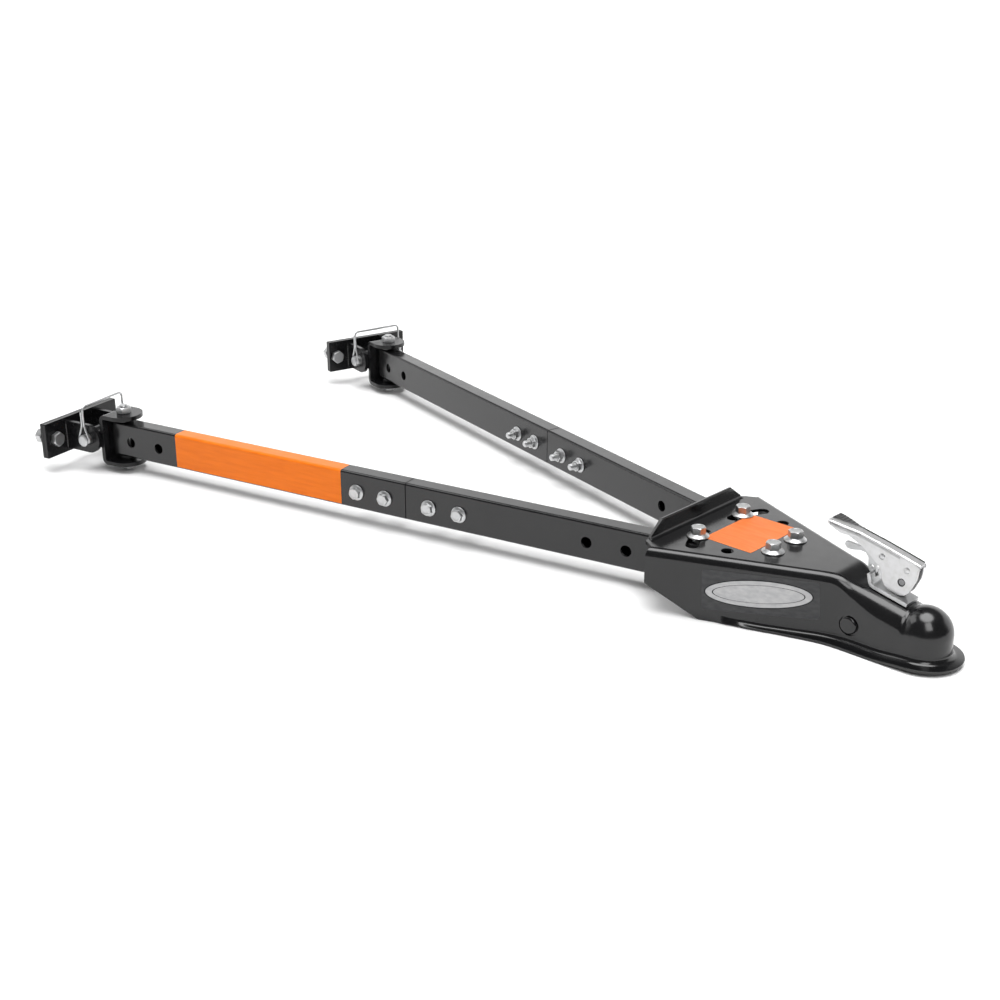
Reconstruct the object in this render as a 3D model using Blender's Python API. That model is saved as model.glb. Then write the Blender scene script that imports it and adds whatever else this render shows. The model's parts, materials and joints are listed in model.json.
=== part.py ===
"""Adjustable A-frame tow bar with a 2 inch ball coupler, in metres, +X to the coupler's nose, +Z up.

Everything hangs from one empty, tow_bar_frame. Its local origin lies midway between the two
front pivots at the height of the tubes' centre lines. Each arm hangs from an empty on its front
pivot, each yoke from one on its swivel bolt and each bracket from one on its hitch pin. Inside an
arm, -X runs back along the tube, so a station is a distance behind the front pivot.
"""

import math

import bmesh
import bpy
from mathutils import Vector

MM = 0.001
GAP = 0.3 * MM

# Arms: 2 x 1 inch rectangular tube, bolted to the coupler at two stations.
TUBE_HEIGHT = 50.8 * MM
TUBE_WIDTH = 25.4 * MM
TUBE_WALL = 3.0 * MM
TUBE_CORNER = 3.5 * MM
ARM_ANGLE = math.radians(13.87)
PIVOT_HALF_SPACING = 23.1 * MM
FRONT_OVERHANG = 18 * MM
SLOT_STATION = 92.3 * MM
FRONT_HOLE_STATIONS = (178.7 * MM, 231.9 * MM)
SPLICE_STATIONS = (413.0 * MM, 458.2 * MM, 526.2 * MM, 570.6 * MM)
SEAM_STATION = 493.9 * MM
SEAM_GAP = 1.2 * MM
SPLICE_HALF_LENGTH = 110 * MM
REAR_HOLE_STATIONS = (913.6 * MM, 965.5 * MM)
YOKE_STATION = 986 * MM
TUBE_END_STATION = 998 * MM
SIDE_HOLE_DROP = 1.8 * MM

# Fasteners: half inch bolts through the tubes' height, three eighths through the splices.
BOLT_HALF = 12.7 / 2 * MM
SPLICE_BOLT_HALF = 9.5 / 2 * MM
BOLT_HEX = 19 * MM
COUPLER_BOLT_HEX = 16 * MM
SPLICE_BOLT_HEX = 14.3 * MM
SIDE_HOLE_HALF = 7.2 * MM
RUNNING_GAP = 0.35 * MM

# Coupler: one stamping, an inverted channel that ends in a ball socket.
SHEET = 4.6 * MM
PLATE_TOP = 31.4 * MM
WALL_HALF = 31 * MM
KINK_X = 89.6 * MM
REAR_X = -112 * MM
TAPER = 86 / 200
BALL_X = 185 * MM
SOCKET_Z = -16 * MM
DOME_RADIUS = 31 * MM
BOTTOM = -47 * MM
NOSE_RISE = 3.7 * MM
HEEL_X = -51 * MM
HEEL_RISE = 0.6
SHOULDER = 9 * MM
LIP_BEND = 6 * MM
LIP_LENGTH = 16.9 * MM
LIP_ANGLE = math.radians(86)
SLOPE_FALL = 0.2089
SLOPE_FOOT = (166.2 * MM, 11.6 * MM)
FLANGE_REAR = REAR_X - 16.5 * MM
FLANGE_TOP = 51 * MM
FLANGE_HALF_BASE = 94 * MM
FLANGE_HALF_TOP = 69.5 * MM
SPARE_HOLE = (-39.5 * MM, 57 * MM)
SPARE_HOLE_HALF = 7.0 * MM
SLOT_HALF = 7.6 * MM
SLOT_FROM = math.radians(4)
SLOT_TO = math.radians(32)
BOSS_X = 109 * MM
BOSS_Z = -22.5 * MM

# Ball latch: every piece of it leans with the slope under the saddle.
LEAN = math.atan(SLOPE_FALL)
LATCH_PIVOT = (154.4 * MM, 36.4 * MM)
LEVER_HALF = 7 * MM
LEVER_SHEET = 2.8 * MM
LEVER_TRAVEL = 70
CAM_RADIUS = 16 * MM
CAM_FALL = 3 * MM
LATCH_PIN_HALF = 3.9 * MM
TRIGGER_PIVOT = (128.4 * MM, 59.5 * MM)
TRIGGER_HALF = 2.2 * MM
SADDLE_HALF = 13 * MM
SADDLE_SHEET = 4.8 * MM
SADDLE_LIP = 10.5 * MM
SADDLE_LIP_TURN = 62
DRAW_BOLT_HALF = 3.7 * MM
BALL_HALF = 25.4 * MM
BALL_Z = -17 * MM

# Rear fittings.
EAR_SHEET = 6 * MM
YOKE_INSIDE = 31.5 * MM
YOKE_HALF = 27 * MM
YOKE_FRONT = 26 * MM
YOKE_WEB = 24 * MM
PIN_FROM_YOKE = 42 * MM
PIN_HALF = 7.9 * MM
BARREL_HALF = 14 * MM
BRACKET_INSIDE = 27.8 * MM
PLATE_FROM_PIN = 42 * MM
PLATE_SHEET = 4.8 * MM
PLATE_HALF_WIDTH = 72 * MM
PLATE_HALF_HEIGHT = 26 * MM
PLATE_SHIFT = 2.2 * MM
PLATE_BOLT_OFFSET = 56 * MM
PLATE_NUT_STANDOFF = 11 * MM
PLATE_BOLT_LENGTH = 34 * MM
EAR_HALF_HEIGHT = 21 * MM
BAIL_WIRE_HALF = 1.5 * MM
BAIL_SIDE = 41.5 * MM
BAIL_TOP = 50.5 * MM

SIDES = {"right": -1, "left": 1}


# ---------------------------------------------------------------- scene and materials

def clear_scene():
    for item in list(bpy.data.objects):
        bpy.data.objects.remove(item)


def material(name, colour, roughness, metallic):
    made = bpy.data.materials.new(name)
    made.use_nodes = True
    shader = made.node_tree.nodes["Principled BSDF"]
    shader.inputs["Base Color"].default_value = (*colour, 1)
    shader.inputs["Roughness"].default_value = roughness
    shader.inputs["Metallic"].default_value = metallic
    return made


def black_paint(name):
    return material(name, (0.02, 0.02, 0.022), 0.35, 0.0)


def zinc(name):
    return material(name, (0.75, 0.76, 0.77), 0.28, 1.0)


def empty(name, parent, location=(0, 0, 0), turn=0.0):
    made = bpy.data.objects.new(name, None)
    bpy.context.scene.collection.objects.link(made)
    made.parent = parent
    made.location = location
    made.rotation_euler = (0, 0, turn)
    return made


def add(name, mesh, parent, finish=None, location=(0, 0, 0), rotation=(0, 0, 0)):
    made = bpy.data.objects.new(name, mesh)
    bpy.context.scene.collection.objects.link(made)
    made.parent = parent
    made.location = location
    made.rotation_euler = rotation
    if finish:
        mesh.materials.append(finish(name))
        mesh.shade_smooth()
        mesh.set_sharp_from_angle(angle=math.radians(35))
    return made


def cut(target, mesh, location=(0, 0, 0), rotation=(0, 0, 0), operation="DIFFERENCE"):
    """Cuts target with a hidden cutter placed in the frame of target's parent."""
    number = len(target.modifiers) + 1
    cutter = add(f"{target.name}_{operation.lower()}_{number}", mesh, target.parent,
                 location=location, rotation=rotation)
    cutter.hide_render = True
    cutter.display_type = "WIRE"
    boolean = target.modifiers.new(f"cut_{number}", "BOOLEAN")
    boolean.object = cutter
    boolean.operation = operation


def join_to(target, mesh, location=(0, 0, 0), rotation=(0, 0, 0)):
    cut(target, mesh, location, rotation, operation="UNION")


# ---------------------------------------------------------------- mesh makers

def loft(name, rings, closed=False):
    """A closed skin through rings of equal length, capped at both ends unless the loft itself is closed."""
    made = bmesh.new()
    rows = [[made.verts.new(point) for point in ring] for ring in rings]
    pairs = list(zip(rows, rows[1:]))
    if closed:
        pairs.append((rows[-1], rows[0]))
    for low, high in pairs:
        for i in range(len(low)):
            j = (i + 1) % len(low)
            made.faces.new((low[i], low[j], high[j], high[i]))
    if not closed:
        made.faces.new(rows[0][::-1])
        made.faces.new(rows[-1])
    bmesh.ops.recalc_face_normals(made, faces=made.faces)
    mesh = bpy.data.meshes.new(name)
    made.to_mesh(mesh)
    made.free()
    return mesh


def circle(radius, count, phase=0.5):
    turns = [math.tau * (i + phase) / count for i in range(count)]
    return [(radius * math.cos(t), radius * math.sin(t)) for t in turns]


def hexagon(across_flats, per_side):
    """A hexagon drawn with per_side points on each side, so that it can be lofted to a circle."""
    corners = [Vector(c) for c in circle(across_flats / math.sqrt(3), 6, phase=0)]
    points = []
    for start, end in zip(corners, corners[1:] + corners[:1]):
        points += [tuple(start.lerp(end, i / per_side)) for i in range(per_side)]
    return points


def stack(name, outline_heights):
    """A loft along Z through (outline, z) pairs."""
    return loft(name, [[(x, y, z) for x, y in outline] for outline, z in outline_heights])


def rod(name, radius, low, high, count=12, chamfer=0.0):
    """A round bar along Z, with chamfered ends where chamfer is not zero."""
    levels = [(radius, low), (radius, high)]
    if chamfer:
        levels = [(radius - chamfer, low), (radius, low + chamfer),
                  (radius, high - chamfer), (radius - chamfer, high)]
    return stack(name, [(circle(r, count, phase=0), z) for r, z in levels])


def prism(name, outline, low, high, axis="Z"):
    """An outline pushed along an axis. Along Y the outline holds (x, z) pairs, along X (y, z) pairs."""
    place = {"Z": lambda u, v, h: (u, v, h), "Y": lambda u, v, h: (u, h, v), "X": lambda u, v, h: (h, u, v)}
    return loft(name, [[place[axis](u, v, h) for u, v in outline] for h in (low, high)])


def box(name, low, high):
    (x0, y0, z0), (x1, y1, z1) = low, high
    return prism(name, [(x0, y0), (x1, y0), (x1, y1), (x0, y1)], z0, z1)


def rounded_box_outline(half_u, half_v, corner, segments=2):
    """A rectangle centred on the origin whose corners are arcs."""
    points = []
    for quarter, (su, sv) in enumerate(((1, 1), (-1, 1), (-1, -1), (1, -1))):
        centre = (su * (half_u - corner), sv * (half_v - corner))
        for i in range(segments + 1):
            turn = math.radians(90) * (quarter + i / segments)
            points.append((centre[0] + corner * math.cos(turn), centre[1] + corner * math.sin(turn)))
    return points


def arc(centre, radius, start, end, segments):
    """Points on an arc, its angles in degrees."""
    turns = [math.radians(start + (end - start) * i / segments) for i in range(segments + 1)]
    return [(centre[0] + radius * math.cos(t), centre[1] + radius * math.sin(t)) for t in turns]


def smooth_step(value, low, high):
    t = min(max((value - low) / (high - low), 0.0), 1.0)
    return t * t * (3 - 2 * t)


def blend(a, b, t):
    return a + (b - a) * t


# ---------------------------------------------------------------- fasteners

def hex_head(width, height, flange):
    """Rings of a hexagon head that sits on Z = 0, each with twelve points."""
    hexagon_ring = hexagon(width, 2)
    chamfered = [(0.9 * x, 0.9 * y) for x, y in hexagon_ring]
    rings = [(chamfered, height), (hexagon_ring, height - 1.2 * MM)]
    if flange:
        rings += [(hexagon_ring, 2.6 * MM), (circle(flange, 12, phase=0), 1.4 * MM), (circle(flange, 12, phase=0), 0)]
    else:
        rings += [(hexagon_ring, 0)]
    return rings


def bolt_mesh(name, radius, length, width, height, flange=None):
    """A hex bolt that hangs down from Z = 0, with its head above."""
    rings = hex_head(width, height, flange)
    rings += [(circle(radius, 12, phase=0), 0), (circle(radius, 12, phase=0), 1 * MM - length)]
    rings += [(circle(radius - 1 * MM, 12, phase=0), -length)]
    return stack(name, rings)


def nut_mesh(name, radius, width, height, flange=None):
    """A hex nut on Z = 0 whose bore clears a bolt of the given radius."""
    outside = [[(x, y, z) for x, y in ring] for ring, z in hex_head(width, height, flange)]
    bore = circle(radius + RUNNING_GAP, 12, phase=0)
    inside = [[(x, y, z) for x, y in bore] for z in (0, height)]
    return loft(name, outside + inside, closed=True)


def add_bolt(name, parent, location, rotation, radius, length, width, height, flange=None):
    return add(name, bolt_mesh(name, radius, length, width, height, flange), parent, zinc, location, rotation)


def add_nut(name, parent, location, rotation, radius, width, height, flange=None):
    return add(name, nut_mesh(name, radius, width, height, flange), parent, zinc, location, rotation)


# ---------------------------------------------------------------- coupler body

def wall_half_width(x):
    if x <= KINK_X:
        return WALL_HALF + (KINK_X - x) * TAPER
    if x <= BALL_X:
        return WALL_HALF
    return math.sqrt(max(DOME_RADIUS ** 2 - (x - BALL_X) ** 2, 0.0))


def plate_height(x):
    """The stamping's top along its centre line: flat, a short dip, then the slope under the saddle."""
    slope = SLOPE_FOOT[1] + (SLOPE_FOOT[0] - x) * SLOPE_FALL
    height = blend(PLATE_TOP, slope, smooth_step(x, 80 * MM, 108 * MM))
    return blend(height, SOCKET_Z + 0.7 * DOME_RADIUS, smooth_step(x, 168 * MM, 176 * MM))


def shoulder_radius(x):
    return blend(SHOULDER, 22 * MM, smooth_step(x, 95 * MM, 180 * MM))


def dome_radius_at(x):
    """Radius of the ball dome's round section at x, about the line through the ball's centre."""
    return math.sqrt(max(DOME_RADIUS ** 2 - (x - BALL_X) ** 2, 0.0))


def larger(a, b, fillet=3 * MM):
    """The larger of two lengths, with a fillet where they are alike."""
    h = max(fillet - abs(a - b), 0.0) / fillet
    return max(a, b) + h * h * fillet / 4


def section_reach(angle, height, corner):
    """Distance from the socket line to the channel's outline in the direction of angle."""
    flat_to, wall_to = WALL_HALF - corner, height - corner
    up, out = math.sin(angle), math.cos(angle)
    if up > 0 and out * height <= flat_to * up:
        return height / up
    if out > 0 and up * WALL_HALF <= wall_to * out:
        return WALL_HALF / out
    along = flat_to * out + wall_to * up
    return along + math.sqrt(max(corner ** 2 - (flat_to ** 2 + wall_to ** 2 - along ** 2), 0.0))


def upper_profile(x):
    """Points (y, z) of the outer skin from the spine to the side wall at x."""
    half, top, corner = wall_half_width(x), plate_height(x), shoulder_radius(x)
    if x <= KINK_X:
        points = [(0, top), ((half - corner) / 2, top)]
        points += [(y, z) for y, z in arc((half - corner, top - corner), corner, 90, 0, 4)]
        points.append((half, blend(blend(top, lip_start(x), 0.5), SOCKET_Z, smooth_step(x, 20 * MM, KINK_X))))
        return points
    shape = [(0, top), ((WALL_HALF - corner) / 2, top)]
    shape += arc((WALL_HALF - corner, top - corner), corner, 90, 0, 4)
    angles = [math.atan2(z - SOCKET_Z, y) for y, z in shape] + [0.0]
    even = [math.radians(90) * (1 - i / (len(angles) - 1)) for i in range(len(angles))]
    share = smooth_step(x, 130 * MM, 172 * MM)
    points = []
    for angle, level in zip(angles, even):
        angle = blend(angle, level, share)
        reach = section_reach(angle, top - SOCKET_Z, corner)
        dome = dome_radius_at(x)
        if x >= BALL_X:
            reach = dome
        elif dome:
            reach = larger(reach, dome) if angle > 0.01 else WALL_HALF
        points.append((reach * math.cos(angle), SOCKET_Z + reach * math.sin(angle)))
    return points


def lip_angle(x):
    return LIP_ANGLE * smooth_step(x, -15 * MM, 75 * MM)


def lip_start(x):
    """Height at which the wall turns out into the lip, so that the lip ends level, a little higher at the nose."""
    angle = lip_angle(x)
    drop = LIP_BEND * math.sin(angle) + (LIP_LENGTH - LIP_BEND * angle) * math.cos(angle) + SHEET * math.sin(angle)
    rise = max((HEEL_X - x) * HEEL_RISE, 0.0) + NOSE_RISE * smooth_step(x, 140 * MM, 190 * MM)
    return BOTTOM + drop + rise


def lower_profile(x):
    """Offsets (out, z) from the wall's foot to the lip's edge, outwards from the wall."""
    angle, start = lip_angle(x), lip_start(x)
    points = []
    for i in range(4):
        turn = angle * i / 3
        if angle < 0.05:
            points.append((0.0, start - LIP_LENGTH * 0.2 * i))
        else:
            points.append((LIP_BEND * (1 - math.cos(turn)), start - LIP_BEND * math.sin(turn)))
    reach = LIP_LENGTH - (LIP_BEND * angle if angle >= 0.05 else LIP_LENGTH * 0.6)
    out, z = points[-1]
    points.append((out + reach * math.sin(angle), z - reach * math.cos(angle)))
    return points


def wall_normal(x):
    """Plan direction that points out of the right-hand wall at x, for the side at +Y."""
    if x <= KINK_X:
        return Vector((TAPER, 1)).normalized()
    if x <= BALL_X:
        return Vector((0, 1))
    return Vector((x - BALL_X, wall_half_width(x))).normalized()


def coupler_stations():
    straight = [REAR_X + 2 * MM, -80 * MM, HEEL_X, -15 * MM, 20 * MM, 50 * MM, 75 * MM, KINK_X]
    slope = [95 * MM, 100 * MM, 105 * MM, 112 * MM, 125 * MM, 140 * MM, 154 * MM, 162 * MM, 168 * MM, 172 * MM]
    turns = [math.radians(90) * i / 7 for i in range(8)]
    dome = [BALL_X + DOME_RADIUS * math.sin(turn) for turn in turns]
    return straight + slope + [178 * MM] + dome


def coupler_skin():
    """The outer skin of the +Y half, from the rear edge to the nose."""
    made = bmesh.new()
    rows = []
    for x in coupler_stations():
        half, normal = wall_half_width(x), wall_normal(x)
        upper = [(x, y, z) for y, z in upper_profile(x)]
        lower = [(x + out * normal.x, half + out * normal.y, z) for out, z in lower_profile(x)]
        rows.append([made.verts.new(point) for point in upper + lower])
    for low, high in zip(rows, rows[1:]):
        for i in range(len(low) - 1):
            made.faces.new((low[i], high[i], high[i + 1], low[i + 1]))
    bmesh.ops.remove_doubles(made, verts=made.verts, dist=0.02 * MM)
    mirrored = bmesh.ops.duplicate(made, geom=list(made.verts) + list(made.edges) + list(made.faces))["geom"]
    verts = [item for item in mirrored if isinstance(item, bmesh.types.BMVert)]
    bmesh.ops.scale(made, vec=(1, -1, 1), verts=verts)
    bmesh.ops.reverse_faces(made, faces=[item for item in mirrored if isinstance(item, bmesh.types.BMFace)])
    bmesh.ops.remove_doubles(made, verts=made.verts, dist=0.02 * MM)
    mesh = bpy.data.meshes.new("coupler_body")
    made.to_mesh(mesh)
    made.free()
    return mesh


def arc_slot_outline(centre_y, side):
    """The slot in the top plate along which an arm's rear bolt slides, about that arm's pivot."""
    first, last = math.degrees(SLOT_FROM), math.degrees(SLOT_TO)
    wide = arc((0, 0), SLOT_STATION + SLOT_HALF, first, last, 6)
    near = arc((0, 0), SLOT_STATION - SLOT_HALF, last, first, 6)
    ends = []
    for angle, turn in ((last, 0), (first, 180)):
        centre = (SLOT_STATION * math.cos(math.radians(angle)), SLOT_STATION * math.sin(math.radians(angle)))
        ends.append(arc(centre, SLOT_HALF, angle + turn + 30, angle + turn + 150, 4))
    outline = wide + ends[0] + near + ends[1]
    return [(-x, centre_y + side * y) for x, y in outline]


def rear_flange_mesh():
    """The turned-up stiffening flange across the plate's rear edge, its foot sunk into the plate."""
    rear = FLANGE_REAR
    front = rear + SHEET
    base, foot, sunk = PLATE_TOP - SHEET, 4 * MM, 0.6 * MM
    section = (
        (rear, base + 2 * MM, FLANGE_HALF_BASE), (rear, FLANGE_TOP - 1 * MM, FLANGE_HALF_TOP),
        (rear + 1 * MM, FLANGE_TOP, FLANGE_HALF_TOP), (front, FLANGE_TOP, FLANGE_HALF_TOP),
        (front, PLATE_TOP + foot, FLANGE_HALF_BASE - 5 * MM),
        (front + 0.3 * foot, PLATE_TOP + 0.3 * foot, FLANGE_HALF_BASE - 2 * MM),
        (front + foot, PLATE_TOP - sunk, FLANGE_HALF_BASE - 1 * MM), (front, base + sunk, FLANGE_HALF_BASE - 1 * MM),
        (rear + 2.4 * MM, base + sunk, FLANGE_HALF_BASE - 0.5 * MM),
    )
    return loft("rear_flange", [[(x, side * half, z) for x, z, half in section] for side in (1, -1)])


def plate_tail_mesh():
    """The plate between the side walls' rear edges and the flange, with its two corners cut off."""
    rear, front = FLANGE_REAR + 1.6 * MM, REAR_X + 5 * MM
    wide, narrow = wall_half_width(REAR_X) - 5 * MM, FLANGE_HALF_BASE + 3 * MM
    outline = [(front, -wide), (front, wide), (REAR_X, wide), (rear, narrow), (rear, -narrow), (REAR_X, -wide)]
    return prism("plate_tail", outline, PLATE_TOP - SHEET, PLATE_TOP)


def build_coupler(frame):
    body = add("coupler_body", coupler_skin(), frame, black_paint)
    shell = body.modifiers.new("sheet", "SOLIDIFY")
    shell.thickness = SHEET
    shell.offset = -1
    shell.use_even_offset = True
    join_to(body, plate_tail_mesh())
    join_to(body, rear_flange_mesh())
    for side in SIDES.values():
        boss = stack("boss", [(circle(11 * MM, 16), -2 * MM), (circle(11 * MM, 16), 0.4 * MM),
                              (circle(9.5 * MM, 16), 2.2 * MM)])
        join_to(body, boss, (BOSS_X, side * WALL_HALF, BOSS_Z), (math.radians(-90 * side), 0, 0))
        pocket = rod("pocket", 6.4 * MM, -10 * MM, -1.8 * MM, 16)
        cut(body, pocket, (BOSS_X, side * WALL_HALF, BOSS_Z), (math.radians(-90 * side), 0, 0))
        slot = arc_slot_outline(side * PIVOT_HALF_SPACING, side)
        cut(body, prism("slot", slot, PLATE_TOP - 12 * MM, PLATE_TOP + 6 * MM))
        for name, place, radius in (
            ("pivot_hole", (0, side * PIVOT_HALF_SPACING, PLATE_TOP), BOLT_HALF + RUNNING_GAP),
            ("spare_hole", (SPARE_HOLE[0], side * SPARE_HOLE[1], PLATE_TOP), SPARE_HOLE_HALF),
        ):
            cut(body, rod(name, radius, -12 * MM, 6 * MM, 14), place)
    cut(body, rod("draw_hole", DRAW_BOLT_HALF + 1.8 * MM, -50 * MM, -12 * MM, 14),
        (LATCH_PIVOT[0], 0, LATCH_PIVOT[1]), (0, LEAN, 0))
    return body


# ---------------------------------------------------------------- ball latch

def latch_frame(frame):
    """An empty on the latch pivot whose Z axis stands square to the slope."""
    made = empty("latch_pivot", frame, (LATCH_PIVOT[0], 0, LATCH_PIVOT[1]))
    made.rotation_euler = (0, LEAN, 0)
    return made


def slope_distance():
    """How far the latch pivot stands above the slope's surface, square to it."""
    x, z = LATCH_PIVOT[0] - SLOPE_FOOT[0], LATCH_PIVOT[1] - SLOPE_FOOT[1]
    return x * math.sin(LEAN) + z * math.cos(LEAN)


def build_saddle(latch):
    """The bent plate that lies on the slope, with a turned-up lip at its rear for the trigger."""
    under = GAP - slope_distance()
    top = under + SADDLE_SHEET
    front, bend, turned = 16.5 * MM, 3 * MM, SADDLE_LIP_TURN
    hinge = (-26.5 * MM, top + bend)
    outline = [(front, under), (front, top)]
    outline += arc(hinge, bend, 270, 270 - turned, 3)
    along = (-math.cos(math.radians(turned)), math.sin(math.radians(turned)))
    inner, outer = (arc(hinge, radius, 270 - turned, 270 - turned, 1)[0] for radius in (bend, bend + SADDLE_SHEET))
    lip_ends = [(x + SADDLE_LIP * along[0], z + SADDLE_LIP * along[1]) for x, z in (inner, outer)]
    outline += lip_ends
    outline += arc(hinge, bend + SADDLE_SHEET, 270 - turned, 270, 4)
    saddle = add("latch_saddle", prism("latch_saddle", outline, -SADDLE_HALF, SADDLE_HALF, "Y"), latch, zinc)
    cut(saddle, rod("draw_hole", DRAW_BOLT_HALF + 1.5 * MM, under - 5 * MM, top + 5 * MM, 14))
    notch_x, notch_z = lip_ends[0][0], lip_ends[0][1] - 7 * MM
    notch = box("notch", (notch_x - 12 * MM, -3.2 * MM, notch_z), (notch_x + 9 * MM, 3.2 * MM, notch_z + 12 * MM))
    cut(saddle, notch)
    return saddle


def build_draw_bolt(latch):
    """The eye bolt that the lever lifts, with its nut under the ball clamp."""
    eye = [(5.6 * MM * math.cos(math.tau * i / 14) * 1.35, 5.6 * MM * math.sin(math.tau * i / 14) * 1.35)
           for i in range(14)]
    bolt = add("draw_bolt", prism("draw_bolt", eye, -3.7 * MM, 3.7 * MM, "Y"), latch, zinc)
    nut_top = -73.4 * MM
    join_to(bolt, rod("shank", DRAW_BOLT_HALF, nut_top - 7.5 * MM, -5 * MM, 12))
    join_to(bolt, stack("nut", [(hexagon(14 * MM, 2), nut_top - 6 * MM), (hexagon(14 * MM, 2), nut_top)]))
    cut(bolt, rod("eye", LATCH_PIN_HALF + RUNNING_GAP, -8 * MM, 8 * MM, 14), rotation=(math.radians(90), 0, 0))
    return bolt


def lever_side_outline():
    """Side view of the lever's ear in the part's upright axes, from its pivot.

    Its lower edge is a cam whose radius falls as the lever opens, so that the draw bolt can drop.
    """
    x0, z0 = LATCH_PIVOT
    closed = -math.degrees(LEAN) - 90
    points = []
    for i in range(9):
        turn = -18 + (LEVER_TRAVEL + 18) * i / 8
        radius = CAM_RADIUS - CAM_FALL * turn / LEVER_TRAVEL
        points += arc((0, 0), radius, closed + turn, closed + turn, 1)[:1]
    upright = [(171.4, 43), (172.4, 50), (173.2, 61.5), (125, 73.5), (94, 79.5), (61, 85), (60.5, 82),
               (88, 71), (107, 62), (126, 49), (131, 33), (134.3, 27.2)]
    points += [(x * MM - x0, z * MM - z0) for x, z in upright]
    return points


def build_lever(pivot):
    """The channel-shaped hand lever: two ears and a web, spreading out at the handle's end."""
    outline = lever_side_outline()
    lever = add("latch_lever", prism("latch_lever", outline, -LEVER_HALF, LEVER_HALF, "Y"), pivot, zinc)
    x0, z0 = LATCH_PIVOT
    inside = [(-110, -40), (40, -40), (40, 20), (20, 21.5), (-29.5, 34), (-60.5, 40), (-110, 49)]
    inner = LEVER_HALF - LEVER_SHEET
    cut(lever, prism("channel", [(x * MM, z * MM) for x, z in inside], -inner, inner, "Y"))
    cut(lever, rod("pivot_hole", LATCH_PIN_HALF + RUNNING_GAP, -20 * MM, 20 * MM, 14),
        rotation=(math.radians(90), 0, 0))
    cut(lever, rod("trigger_hole", 2.9 * MM, -20 * MM, 20 * MM, 12),
        (TRIGGER_PIVOT[0] - x0, 0, TRIGGER_PIVOT[1] - z0), (math.radians(90), 0, 0))
    wing = []
    for x, z, half in ((60.2, 84.2, 14.2), (78, 82.4, 11.5), (98, 79, 6.9)):
        x, z, half = x * MM - x0, z * MM - z0, half * MM
        low, high = z - 1.6 * MM, z + 1.4 * MM
        wing.append([(x, -half, low), (x, half, low), (x, half, high), (x, -half, high)])
    join_to(lever, loft("wing", wing))
    return lever


def build_trigger(pivot):
    """The finger trigger between the lever's ears, whose nose drops into the saddle's notch."""
    x0, z0 = TRIGGER_PIVOT
    upright = [(80, 62.3), (79, 58.5), (82, 54.6), (88, 54.2), (99, 56.6), (106, 55.8), (109.6, 51), (110, 43),
               (111.5, 37), (114.5, 33.8), (119, 33.4), (120.4, 36.4), (119.5, 43), (124, 50), (132, 54), (135, 60),
               (131, 65.5), (124, 66), (104, 62), (92, 61.5)]
    outline = [(x * MM - x0, z * MM - z0) for x, z in upright]
    trigger = add("latch_trigger", prism("latch_trigger", outline, -TRIGGER_HALF, TRIGGER_HALF, "Y"), pivot, zinc)
    for place, radius in (((0, 0, 0), 2.5 * MM + RUNNING_GAP), ((-13.5 * MM, 0, -17.5 * MM), 2.2 * MM)):
        cut(trigger, rod("hole", radius, -8 * MM, 8 * MM, 12), place, (math.radians(90), 0, 0))
    return trigger


def build_ball_clamp(frame):
    """The under-jaw that closes on the ball from behind, rocking on two stubs in the side walls."""
    pivot = empty("ball_clamp_pivot", frame, (BOSS_X, 0, BOSS_Z))
    ball = (BALL_X - BOSS_X, BALL_Z - BOSS_Z)
    outline = [(-9, -6), (-5, 6), (50, 6), (53, 2), (53, -9), (59, -14.5), (56, -17), (44, -10), (-5, -10)]
    clamp = add("ball_clamp", prism("ball_clamp", [(x * MM, z * MM) for x, z in outline], -21 * MM, 21 * MM, "Y"),
                pivot, zinc)
    reach = WALL_HALF - 1.8 * MM - GAP
    join_to(clamp, rod("stubs", 5.4 * MM, -reach, reach, 14), rotation=(math.radians(90), 0, 0))
    turned = [(math.sin(math.pi * (i + 0.5) / 12), math.cos(math.pi * (i + 0.5) / 12)) for i in range(12)]
    seat = BALL_HALF + 0.5 * MM
    rings = [(circle(seat * r, 18), seat * z) for r, z in turned]
    cut(clamp, stack("seat", rings), (ball[0], 0, ball[1]))
    drop = LATCH_PIVOT[0] - BOSS_X, LATCH_PIVOT[1] - BOSS_Z
    slot = prism("draw_slot", [(x * MM, y * MM) for x, y in ((-6.5, -5), (6.5, -5), (6.5, 5), (-6.5, 5))],
                 -90 * MM, -40 * MM)
    cut(clamp, slot, (drop[0], 0, drop[1]), (0, LEAN, 0))
    return clamp


def build_latch(frame):
    latch = latch_frame(frame)
    build_saddle(latch)
    build_draw_bolt(latch)
    upright = empty("latch_lever_pivot", frame, (LATCH_PIVOT[0], 0, LATCH_PIVOT[1]))
    build_lever(upright)
    pin = rod("latch_pivot_pin", LATCH_PIN_HALF, -LEVER_HALF - 1.2 * MM, LEVER_HALF + 1.2 * MM, 12, 0.8 * MM)
    add("latch_pivot_pin", pin, upright, zinc, rotation=(math.radians(90), 0, 0))
    trigger_pivot = empty("latch_trigger_pivot", frame, (TRIGGER_PIVOT[0], 0, TRIGGER_PIVOT[1]))
    build_trigger(trigger_pivot)
    rivet = rod("trigger_rivet", 2.5 * MM, -LEVER_HALF - 1 * MM, LEVER_HALF + 1 * MM, 12, 0.6 * MM)
    add("trigger_rivet", rivet, trigger_pivot, zinc, rotation=(math.radians(90), 0, 0))
    build_ball_clamp(frame)


# ---------------------------------------------------------------- arms

def tube_mesh(name, half_width, half_height, wall, corner, rear, front):
    """A rectangular tube along X, open at both ends."""
    outer = rounded_box_outline(half_width, half_height, corner, 1)
    inner = rounded_box_outline(half_width - wall, half_height - wall, max(corner - wall, 0.6 * MM), 1)
    rings = []
    for outline, x in ((outer, rear), (outer, front), (inner, front), (inner, rear)):
        rings.append([(x, y, z) for y, z in outline])
    return loft(name, rings, closed=True)


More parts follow.
